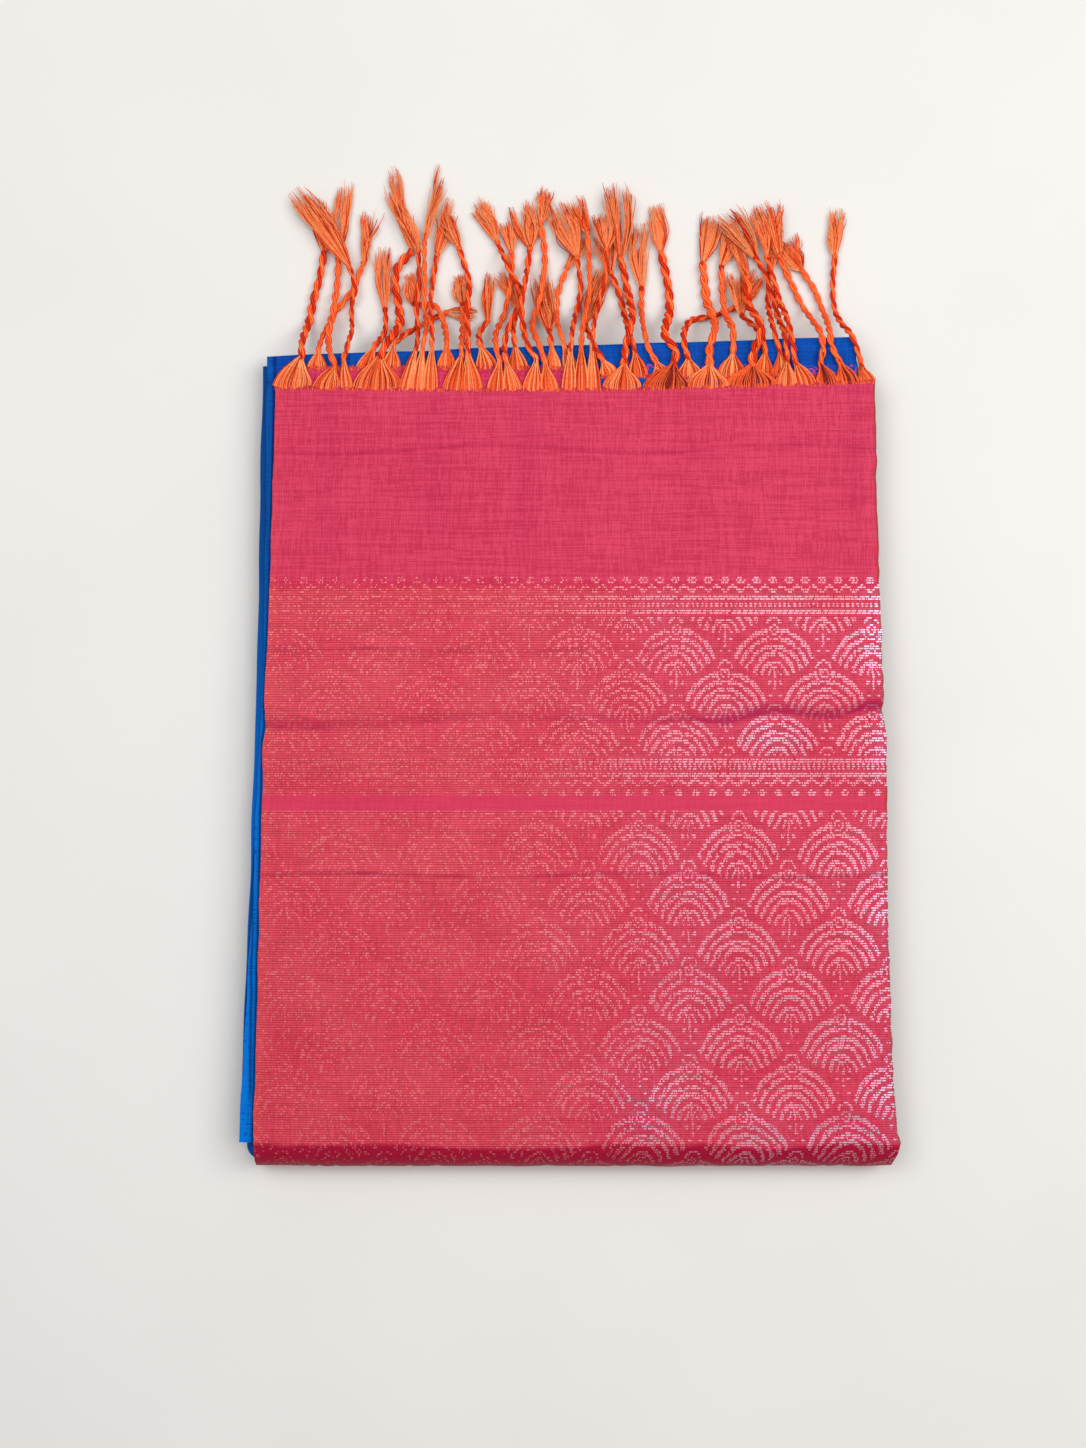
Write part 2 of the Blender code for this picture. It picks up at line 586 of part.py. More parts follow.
def heap_outline(ply: Ply, groove: float, height: float) -> list:
    """Plan of the heap at one level: straight sides with round corners, point by point."""
    foot = FOLD_START_Y - fold_room(height) + groove
    head = HEAP_HEAD_LEFT_Y - ply.end_inset * MM - groove
    head_slope = HEAP_HEAD_RIGHT_Y - HEAP_HEAD_LEFT_Y

    def left_at(y: float) -> float:
        return edge_at(LOWER_FOLD_EDGES, y)[0] + ply.left_inset * MM + groove

    def right_at(y: float) -> float:
        along = (y - FOLD_START_Y) / (HEAP_HEAD_RIGHT_Y - FOLD_START_Y)
        return HEAP_RIGHT_X - HEAP_RIGHT_NARROWING * along - ply.right_inset * MM - groove

    def head_at(x: float) -> float:
        return head + head_slope * (x - left_at(head)) / (right_at(head) - left_at(head))

    side_ys = spaced(foot + HEAP_CORNER, head - HEAP_CORNER, HEAP_SIDE_STEPS)
    points = [(right_at(y), y) for y in side_ys]
    head_right = head_at(right_at(head))
    points += corner(right_at(head) - HEAP_CORNER, head_right - HEAP_CORNER, 0.0)
    head_xs = spaced(right_at(head) - HEAP_CORNER, left_at(head) + HEAP_CORNER, HEAP_SIDE_STEPS)
    points += [(x, head_at(x)) for x in head_xs[1:-1]]
    points += corner(left_at(head) + HEAP_CORNER, head_at(left_at(head)) - HEAP_CORNER, 0.5 * math.pi)
    points += [(left_at(y), y) for y in reversed(side_ys)]
    points += corner(left_at(foot) + HEAP_CORNER, foot + HEAP_CORNER, math.pi)
    foot_xs = spaced(left_at(foot) + HEAP_CORNER, right_at(foot) - HEAP_CORNER, HEAP_SIDE_STEPS)
    points += [(x, foot) for x in foot_xs[1:-1]]
    points += corner(right_at(foot) - HEAP_CORNER, foot + HEAP_CORNER, 1.5 * math.pi)
    return points


def corner(x: float, y: float, start: float) -> list:
    """Points round a quarter circle, its ends left out."""
    turns = spaced(start, start + 0.5 * math.pi, HEAP_CORNER_STEPS + 2)
    return [(x + HEAP_CORNER * math.cos(turn), y + HEAP_CORNER * math.sin(turn)) for turn in turns[1:-1]]


def heap_levels() -> list:
    """Every level of the heap's edge: ply, inset into the groove and share of the height."""
    levels = []
    for ply in PLIES:
        depth = ply.head - ply.foot
        if not levels:
            levels.append((ply, PLY_GROOVE, ply.foot))
        levels.append((ply, 0.0, ply.foot + PLY_ROUND * depth))
        levels.append((ply, 0.0, ply.head - PLY_ROUND * depth))
        levels.append((ply, PLY_GROOVE, ply.head))
    return levels


def make_hidden_layers(material, collection):
    """The hidden plies as one rounded block, each bundle of plies standing out at its edges."""
    shape = bmesh.new()
    rings = []
    for ply, groove, height in heap_levels():
        ring = []
        for x, y in heap_outline(ply, groove, height):
            z = HEAP_BASE + height * (heap_top(x, y) - HEAP_BASE)
            ring.append(shape.verts.new((x, y, z)))
        rings.append(ring)
    outline = [(vertex.co.x, vertex.co.y) for vertex in rings[-1]]
    middle_x = sum(x for x, _ in outline) / len(outline)
    middle_y = sum(y for _, y in outline) / len(outline)
    for cap_share in HEAP_CAP_SHARES:
        ring = []
        for x, y in outline:
            cap_x = middle_x + (x - middle_x) * cap_share
            cap_y = middle_y + (y - middle_y) * cap_share
            ring.append(shape.verts.new((cap_x, cap_y, heap_top(cap_x, cap_y))))
        rings.append(ring)
    count = len(outline)
    for lower, upper in zip(rings, rings[1:]):
        for step in range(count):
            after = (step + 1) % count
            shape.faces.new((lower[step], lower[after], upper[after], upper[step]))
    shape.faces.new(list(reversed(rings[0])))
    shape.faces.new(rings[-1])
    mesh = bpy.data.meshes.new("hidden_layers")
    shape.to_mesh(mesh)
    shape.free()
    mesh.materials.append(material)
    piece = bpy.data.objects.new("hidden_layers", mesh)
    collection.objects.link(piece)
    return piece


def cloth_at(x: float, y: float) -> float:
    """Height of the cloth or the floor under the tassels at a point."""
    left, right = edge_at(UPPER_FOLD_EDGES, y)
    if y > upper_fold_end(x) + LAY_GAP or x < left or x > right:
        return FLOOR_CLEAR
    rise = UPPER_FOLD_TOP + LAY_GAP
    if x < SECOND_RIGHT_X and y < SECOND_END_Y:
        rise = SECOND_TOP + LAY_GAP
    if x >= SECOND_RIGHT_X and y < INNER_BORDER_END_Y:
        rise = INNER_BORDER_TOP + LAY_GAP
    if x >= SECOND_RIGHT_X and y < BORDER_END_Y:
        rise = SECOND_TOP + LAY_GAP
    return heap_top(x, y) + rise


def cloth_below(x: float, y: float) -> float:
    """Highest cloth near a point, so that a strand clears the turned edges too."""
    nearby = ((0.0, 0.0), (LOOK_AROUND, 0.0), (-LOOK_AROUND, 0.0), (0.0, LOOK_AROUND), (0.0, -LOOK_AROUND))
    return max(cloth_at(x + step_x, y + step_y) for step_x, step_y in nearby)


class Station(NamedTuple):
    """One ring of a strand: its middle, half sizes, twist, room it keeps and steepness."""

    middle: Vector
    half_width: float
    half_height: float
    twist: float
    stand: float
    slope: float = 0.0


def smooth_route(points: list, spacing: float) -> list:
    """Points on a smooth curve through the given ones, about spacing apart."""
    curve = []
    for index in range(len(points) - 1):
        before = points[max(index - 1, 0)]
        start = points[index]
        end = points[index + 1]
        after = points[min(index + 2, len(points) - 1)]
        length = (end - start).length
        pull_start = (end - before).normalized() * length
        pull_end = (after - start).normalized() * length
        steps = max(1, round(length / spacing))
        for step in range(steps):
            t = step / steps
            curve.append(
                start * (2 * t**3 - 3 * t**2 + 1)
                + pull_start * (t**3 - 2 * t**2 + t)
                + end * (3 * t**2 - 2 * t**3)
                + pull_end * (t**3 - t**2)
            )
    curve.append(points[-1])
    return curve


def fan_stations(strand: Strand, root: Vector, waist: Vector) -> list:
    """The flat fan of warp threads that narrows from the cloth's edge to the cord."""
    stations = []
    half_root = 0.5 * strand.root_width * MM
    for share in FAN_SHARES:
        narrow = (1.0 - share) ** FAN_POWER
        half_width = CORD_HALF_WIDTH + (half_root - CORD_HALF_WIDTH) * narrow
        half_height = FAN_HALF_HEIGHT + (CORD_HALF_HEIGHT - FAN_HALF_HEIGHT) * share
        stations.append(Station(root.lerp(waist, share), half_width, half_height, 0.0, half_height))
    return stations


def cord_stations(points: list) -> list:
    """The twisted cord, turned by whole half turns so that its brush lies flat."""
    half_turns = max(1, round(len(points) * TWIST_PER_RING / math.pi))
    step = math.pi * half_turns / len(points)
    stations = []
    for index, point in enumerate(points[:-1]):
        stations.append(Station(point, CORD_HALF_WIDTH, CORD_HALF_HEIGHT, step * (index + 1), CORD_STAND))
    stations.append(Station(points[-1], KNOT_HALF, KNOT_HALF, math.pi * half_turns, KNOT_STAND))
    return stations


def brush_stations(strand: Strand, knot: Vector, tip: Vector, twist: float) -> list:
    """The brush of cut threads that flares out below the knot."""
    full = 0.5 * strand.brush_width * MM
    stations = []
    for share, width_share, height_share in BRUSH_SHAPE:
        half_height = BRUSH_HALF_HEIGHT * height_share
        half_width = full * width_share
        stand = half_height + 0.3 * MM
        stations.append(Station(knot.lerp(tip, share), half_width, half_height, twist, stand))
    return stations


def strand_plan(strand: Strand, root: Vector) -> list:
    """Stations of a strand as seen from above, from its fan to the tip of its brush."""
    knots = [Vector((x * MM, y * MM, 0.0)) for x, y in strand.route]
    tip = Vector((strand.tip[0] * MM, strand.tip[1] * MM, 0.0))
    stations = fan_stations(strand, root, knots[0])
    stations += cord_stations(smooth_route(knots, RING_SPACING))
    return stations + brush_stations(strand, knots[-1], tip, stations[-1].twist)


def clear_height(station: Station, other: Station) -> float:
    """The least height at which a station clears one that is already laid."""
    apart = math.hypot(station.middle.x - other.middle.x, station.middle.y - other.middle.y)
    flat = max(0.0, station.half_width - station.stand) + max(0.0, other.half_width - other.stand)
    room = station.stand + other.stand + STRAND_GAP
    beyond = max(0.0, apart - flat) / room
    if beyond >= 1.0:
        return 0.0
    return other.middle.z + room * math.sqrt((1.0 - beyond * beyond) * (1.0 + other.slope * other.slope))


def fill_in(stations: list) -> list:
    """The stations with points between them, so that whole runs are cleared."""
    filled = []
    for before, after in zip(stations, stations[1:]):
        run = math.hypot(after.middle.x - before.middle.x, after.middle.y - before.middle.y)
        slope = (after.middle.z - before.middle.z) / max(run, MM)
        for step in range(FILL_STEPS):
            share = step / FILL_STEPS
            filled.append(
                Station(
                    before.middle.lerp(after.middle, share),
                    before.half_width + (after.half_width - before.half_width) * share,
                    before.half_height + (after.half_height - before.half_height) * share,
                    0.0,
                    before.stand + (after.stand - before.stand) * share,
                    slope,
                )
            )
    filled.append(stations[-1])
    return filled


def settle(stations: list, laid: list) -> list:
    """Lift each station to rest on the cloth, the floor and the strands that are already laid."""
    needs = []
    for point in fill_in(stations):
        lowest = cloth_below(point.middle.x, point.middle.y) + point.stand
        for other in laid:
            lowest = max(lowest, clear_height(point, other))
        needs.append(lowest)
    heights = []
    runs = [0.0]
    for index, station in enumerate(stations):
        first = max(0, (index - 1) * FILL_STEPS + 1)
        heights.append(max(needs[first:(index + 1) * FILL_STEPS]))
        if index > 0:
            before = stations[index - 1].middle
            runs.append(runs[-1] + math.hypot(station.middle.x - before.x, station.middle.y - before.y))
    heights[0] = stations[0].middle.z
    settled = []
    for station, run in zip(stations, runs):
        height = max(need - STRAND_SLOPE * abs(run - place) for need, place in zip(heights, runs))
        settled.append(station._replace(middle=Vector((station.middle.x, station.middle.y, height))))
    settled[0] = stations[0]
    return settled


def ring_points(station: Station, behind: Vector, ahead: Vector) -> list:
    """Four corners of a strand's section, across the way it runs."""
    along = (ahead - behind).normalized()
    across = along.cross(Vector((0.0, 0.0, 1.0))).normalized()
    up = across.cross(along)
    turned_across = across * math.cos(station.twist) + up * math.sin(station.twist)
    turned_up = up * math.cos(station.twist) - across * math.sin(station.twist)
    width = turned_across * station.half_width
    height = turned_up * station.half_height
    low = station.middle - height
    high = station.middle + height
    return [low - width, low + width, high + width, high - width]


def grow_strand(shape, root_ring: list, stations: list):
    """Loft a strand from its root in the strip through every station to its tip."""
    ring = root_ring
    for index in range(1, len(stations)):
        behind = stations[index - 1].middle
        ahead = stations[min(index + 1, len(stations) - 1)].middle
        following = [shape.verts.new(point) for point in ring_points(stations[index], behind, ahead)]
        for side in range(4):
            after = (side + 1) % 4
            shape.faces.new((ring[side], ring[after], following[after], following[side]))
        ring = following
    shape.faces.new(ring)


def make_fringe(name: str, strands: tuple, edge_y, rise: float, left: float, right: float,
                laid: list, material, collection):
    """A row of tassels: a narrow strip past the cloth's end, with every strand grown from it."""
    shape = bmesh.new()
    cuts = [left]
    for strand in strands:
        cuts.append((strand.root_x - 0.5 * strand.root_width) * MM)
        cuts.append((strand.root_x + 0.5 * strand.root_width) * MM)
    cuts.append(right)
    columns = []
    for x in cuts:
        back = edge_y(x) + STRIP_GAP
        front = back + STRIP_DEPTH
        middle = heap_top(x, back) + rise
        low = middle - 0.5 * STRIP_HEIGHT
        high = middle + 0.5 * STRIP_HEIGHT
        corners = ((x, back, low), (x, front, low), (x, front, high), (x, back, high))
        columns.append([shape.verts.new(point) for point in corners])
    for index in range(len(cuts) - 1):
        near = columns[index]
        far = columns[index + 1]
        for side in (0, 2, 3):
            after = (side + 1) % 4
            shape.faces.new((near[side], near[after], far[after], far[side]))
        if index % 2 == 0:
            shape.faces.new((near[1], near[2], far[2], far[1]))
            continue
        strand = strands[index // 2]
        root_x = strand.root_x * MM
        root_y = edge_y(root_x) + STRIP_GAP + STRIP_DEPTH
        root = Vector((root_x, root_y, heap_top(root_x, root_y) + rise))
        stations = settle(strand_plan(strand, root), laid)
        laid.extend(fill_in(stations))
        grow_strand(shape, [near[1], far[1], far[2], near[2]], stations)
    shape.faces.new(reversed(columns[0]))
    shape.faces.new(columns[-1])
    for x in spaced(left, right, round((right - left) / STRIP_DEPTH) + 1):
        middle = Vector((x, edge_y(x) + STRIP_GAP + 0.5 * STRIP_DEPTH, heap_top(x, edge_y(x)) + rise))
        laid.append(Station(middle, STRIP_DEPTH, 0.5 * STRIP_HEIGHT, 0.0, 0.5 * STRIP_HEIGHT))
    bmesh.ops.recalc_face_normals(shape, faces=shape.faces)
    mesh = bpy.data.meshes.new(name)
    shape.to_mesh(mesh)
    shape.free()
    mesh.materials.append(material)
    piece = bpy.data.objects.new(name, mesh)
    collection.objects.link(piece)
    return piece


def clear_scene():
    """Start from an empty scene."""
    for item in list(bpy.data.objects):
        bpy.data.objects.remove(item, do_unlink=True)


def main():
    """Build every piece into the saree's collection."""
    clear_scene()
    collection = bpy.data.collections.new("folded_silk_saree")
    bpy.context.scene.collection.children.link(collection)
    rose = make_material("rose_silk", ROSE, SILK_ROUGHNESS)
    blue = make_material("blue_silk", BLUE, SILK_ROUGHNESS)
    thread = make_material("orange_thread", ORANGE, SILK_ROUGHNESS)

    make_hidden_layers(blue, collection)
    make_body_lower_fold(blue, collection)
    make_body_upper_fold(blue, collection)
    make_border_inner_fold(blue, collection)
    make_border_fold(blue, collection)
    make_pallu_second(rose, collection)
    make_pallu_front(rose, collection)

    laid = []
    second_rise = SECOND_TOP - 0.5 * STRIP_HEIGHT
    make_fringe("tassels_second_left", SECOND_LEFT_STRANDS, lambda x: SECOND_END_Y, second_rise,
                SECOND_LEFT_X + 12.0 * MM, SECOND_RIGHT_X - 8.0 * MM, laid, thread, collection)
    make_fringe("tassels_second_right", SECOND_RIGHT_STRANDS, lambda x: BORDER_END_Y, second_rise,
                BORDER_LEFT_X + 0.2 * MM, BORDER_RIGHT_X - 20.0 * MM, laid, thread, collection)
    front_left, front_right = edge_at(PALLU_EDGES, PALLU_END_Y)
    make_fringe("tassels_front", FRONT_STRANDS, pallu_end, PALLU_TOP - 0.5 * PALLU_WALL,
                front_left - 0.2 * MM, front_right, laid, thread, collection)


main()
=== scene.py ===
"""Looks of the folded silk saree: its cloth, its woven metal pattern and its twisted tassels.

Metres, +Z up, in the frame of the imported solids: +Y runs towards the tassels and +X to the right
of someone who looks down on the rose end piece. Lengths written as plain numbers in the tables
and in the finishes are millimetres.
"""

import logging
import math
from collections.abc import Callable, Sequence
from dataclasses import dataclass, field
from enum import Enum
from functools import cache, cached_property

import bpy
import numpy as np
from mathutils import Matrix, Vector


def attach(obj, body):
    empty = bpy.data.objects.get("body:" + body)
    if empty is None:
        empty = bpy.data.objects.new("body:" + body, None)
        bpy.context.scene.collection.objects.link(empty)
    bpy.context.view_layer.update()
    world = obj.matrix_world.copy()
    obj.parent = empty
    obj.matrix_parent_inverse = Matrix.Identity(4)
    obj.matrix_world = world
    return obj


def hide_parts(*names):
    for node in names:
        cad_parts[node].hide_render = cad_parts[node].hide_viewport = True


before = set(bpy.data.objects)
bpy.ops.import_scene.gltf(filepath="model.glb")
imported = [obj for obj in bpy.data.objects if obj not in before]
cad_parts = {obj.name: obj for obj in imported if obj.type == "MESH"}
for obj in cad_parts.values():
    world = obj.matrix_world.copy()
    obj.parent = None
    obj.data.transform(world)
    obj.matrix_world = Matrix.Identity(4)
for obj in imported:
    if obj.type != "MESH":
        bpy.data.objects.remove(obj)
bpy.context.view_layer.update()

LOG = logging.getLogger("saree")
MM = 0.001
PER_METRE = 1000
TURN = math.tau

Socket = bpy.types.NodeSocket
Tree = bpy.types.NodeTree
Material = bpy.types.Material
Piece = bpy.types.Object
Colour = tuple[float, float, float]
Rows = tuple[tuple[float, ...], ...]
Array = np.ndarray
Spots = Array | float
Point = Array | Vector


class Dye(Enum):
    """The thread dyes of the tassels, by their place in a piece's material list."""

    ORANGE = 0
    DEEP_ORANGE = 1
    MAROON = 2
    PALE_ORANGE = 3
    ROSE = 4


class Tone(Enum):
    """The blues of the body folds."""

    # STRIP and TURNED are given the side strip's blue, painted lighter as painted light
    STRIP = "bright blue of the side strip"
    TURNED = "royal blue, bright where it turns over at the side"
    ROYAL = "royal blue of the tassel end"


def srgb(*screen: float) -> Colour:
    """Turn a screen colour, red, green and blue of 0 to 255, into the linear one of a shader."""
    shares = [value / 255 for value in screen]
    return tuple(share / 12.92 if share <= 0.04045 else ((share + 0.055) / 1.055) ** 2.4 for share in shares)


def ease(share: Spots) -> Array:
    """Ease from 0 to 1 with level ends."""
    held = np.clip(share, 0, 1)
    return held * held * (3 - 2 * held)


def bell(away: Spots) -> Array:
    """A smooth hump, 1 where away is 0 and almost 0 from 2 on."""
    return np.exp(-away * away)


def ripple(x: Spots, y: Spots, seed: int, wave: float) -> Array:
    """Smooth unevenness of cloth, about -1 to 1, from a few crossing waves.

    Args:
        x: Places along X in metres.
        y: Places along Y in metres.
        seed: Number that picks the waves.
        wave: Middle wavelength in metres.

    Returns:
        The unevenness at each place.
    """
    picks = np.random.default_rng(seed)
    total = 0 * (np.asarray(x) + np.asarray(y))
    for _ in range(6):
        heading = picks.uniform(0, TURN)
        length = wave * picks.uniform(0.55, 1.7)
        phase = picks.uniform(0, TURN)
        across = np.asarray(x) * math.cos(heading) + np.asarray(y) * math.sin(heading)
        total = total + np.sin(TURN * across / length + phase)
    return total / 3.4


def runs_along(points: Array) -> Array:
    """Distance along a line of points, from 0 at the first."""
    steps = np.linalg.norm(np.diff(points, axis=0), axis=1)
    return np.concatenate(([0], np.cumsum(steps)))


def close_to_sides(count: int) -> Array:
    """Shares of a sheet's width from 0 to 1, closer together near both sides."""
    even = np.linspace(-1, 1, count)
    return 0.5 + 0.5 * np.sign(even) * np.abs(even) ** 0.8


def joined(*parts: Spots) -> Array:
    """Values side by side, such as the coordinates of points, each spread over all the places."""
    return np.stack(np.broadcast_arrays(*parts), axis=-1)


def between(start: Point, end: Point, leave: Point, arrive: Point, t: Spots) -> Point:
    """The point at a share t of a smooth curve between two others, which pull at it as given."""
    return (start * (2 * t**3 - 3 * t**2 + 1) + leave * (t**3 - 2 * t**2 + t)
            + end * (3 * t**2 - 2 * t**3) + arrive * (t**3 - t**2))


def pick_out(piece: Piece | None = None) -> None:
    """Leave nothing selected, or only one piece, so that an operator works on it alone."""
    bpy.ops.object.select_all(action="DESELECT")
    if piece is not None:
        piece.select_set(True)
        bpy.context.view_layer.objects.active = piece


def smooth_faces(piece: Piece, angle: float) -> None:
    """Smooth a piece's faces and keep the edges that are sharper than an angle in degrees."""
    pick_out(piece)
    bpy.ops.object.shade_smooth_by_angle(angle=math.radians(angle))


def dress(piece: Piece, node: str, finish: Material | None = None) -> None:
    """Give a piece its finish and its place in the saree.

    Args:
        piece: The new piece.
        node: The solid that it stands for.
        finish: Its material, where it hasn't its own yet.
    """
    if finish is not None:
        piece.data.materials.append(finish)
    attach(piece, "root")
    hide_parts(node)
    LOG.info("%s made, for %s", piece.name, node)


# The form that every sheet lies on


@dataclass(frozen=True)
class Crease:
    """A crease across the pallu: its line, its height or depth, its spread and how it fades."""

    y: float
    tilt: float
    bend: float
    height: float
    spread: float
    fade_left: float
    fade_middle: float
    fade_right: float


@dataclass(frozen=True)
class Wrinkle:
    """A short soft wrinkle: its middle, heading in degrees, sizes and height."""

    x: float
    y: float
    heading: float
    half_length: float
    half_width: float
    height: float


# Side edges of the sheets, in rows of y, left and right
PALLU_EDGES = (
    (131, -136.8, 143.3), (76, -138.3, 144.2), (30, -139.8, 145.6), (-17, -141.8, 147.2),
    (-27, -141.4, 146.2), (-36, -142.4, 148.4), (-110, -144, 148.9), (-157, -145.2, 150.3),
    (-194, -146.1, 151.4), (-217, -146.8, 153.3), (-223.4, -147, 155), (-236, -146.4, 151.5),
)
UPPER_FOLD_EDGES = (
    (154, -141.5, 135), (60, -142.2, 137), (0, -143.2, 139), (-100, -147.6, 141), (-224, -154.4, 143),
)
LOWER_FOLD_EDGES = (
    (154, -144.3, 130), (0, -147, 134), (-100, -150.2, 137), (-215, -155, 140),
)

HEAD_CREASE = Crease(101, 0.5, -1.6, 0.45, 2.6, 1, 0.8, 1)
UPPER_CREASE = Crease(7.5, 0, 0.8, 0.4, 3, 1, 0.7, 0.2)
WAVY_FOLD = Crease(-25.5, 3, -1.5, -1.1, 2.4, 0.8, 0.3, 1)
LOWER_CREASE = Crease(-97.5, 0, 0.9, 0.5, 2.6, 1, 0.8, 0.9)
CREASES = (
    HEAD_CREASE,
    UPPER_CREASE,
    Crease(-14, 3, 0, 1.5, 13, 0.9, 0.5, 1),
    WAVY_FOLD,
    Crease(-38, 2, 0, 1.2, 12, 0.9, 0.4, 1),
    LOWER_CREASE,
    Crease(-206, 0, 2, 0.6, 9, 0.5, 1, 0.8),
)
SHARP_SPREAD = 5
TURN_STEPS = 10
TUCK_STEPS = 18

# Middle, heading, half length, half width and height
WRINKLES = tuple(Wrinkle(*row) for row in (
    (128, -22, 28, 16, 2.2, 0.5), (112, -30, -20, 15, 2, 0.45), (92, -24, 14, 14, 1.8, 0.4),
    (70, -27, -12, 16, 1.8, 0.35), (40, -26, 8, 18, 1.6, 0.25), (-118, -24, -10, 16, 1.8, 0.35),
    (-84, -28, 9, 18, 1.7, 0.3), (-52, 84, 88, 44, 3.2, -0.22), (-18, 70, 91, 52, 3.6, 0.2),
    (31, 82, 87, 46, 3.4, -0.2), (88, 76, 92, 40, 3, 0.18), (-104, 60, 89, 42, 3.2, 0.2),
    (-60, -200, 4, 34, 3.4, 0.3), (24, -207, -7, 22, 3, -0.3), (96, -211, 6, 30, 3.2, 0.35),
    (132, -150, 64, 18, 2.6, 0.22), (-126, -142, -70, 20, 2.8, 0.25), (-6, -150, 82, 46, 4.4, 0.16),
))

# Small gathers of the bottom roll: x, lean and weight
ROLL_GATHERS = (
    (-121, 0.3, 0.7), (-116, 0.1, 0.9), (-110, -0.2, 0.7), (-95, -0.4, 0.5), (-76, -0.3, 0.6),
    (-60, 0.4, 0.6), (-30, -0.2, 0.6), (-8, 0.4, 0.5), (22, 0.2, 0.6), (60, -0.3, 0.7), (64, -0.4, 0.5),
    (96, 0.3, 0.6), (121, 0.3, 0.8), (126, -0.2, 0.6),
)
# Painted shade on the plain head, where its soft wrinkles would shade it: x, half width and weight
SHADES = (
    (-112, 6, 0.12), (-62, 9, 0.14), (-20, 5, 0.2), (2, 4, 0.1), (60, 7, 0.1), (133, 4, 0.2),
)
# Painted highlights, patches where the metal weft is painted to glint: x, y, half width, half length and
# weight
PAINTED_GLEAMS = (
    (148, 20, 13, 30, 1), (150, -40, 15, 24, 0.8), (150, -120, 13, 34, 0.9), (152, -196, 17, 30, 1),
    (34, -207, 14, 17, 1), (128, -222, 26, 9, 0.8), (96, -36, 18, 10, 0.45), (118, 6, 20, 10, 0.3),
    (72, -96, 20, 16, 0.25),
)


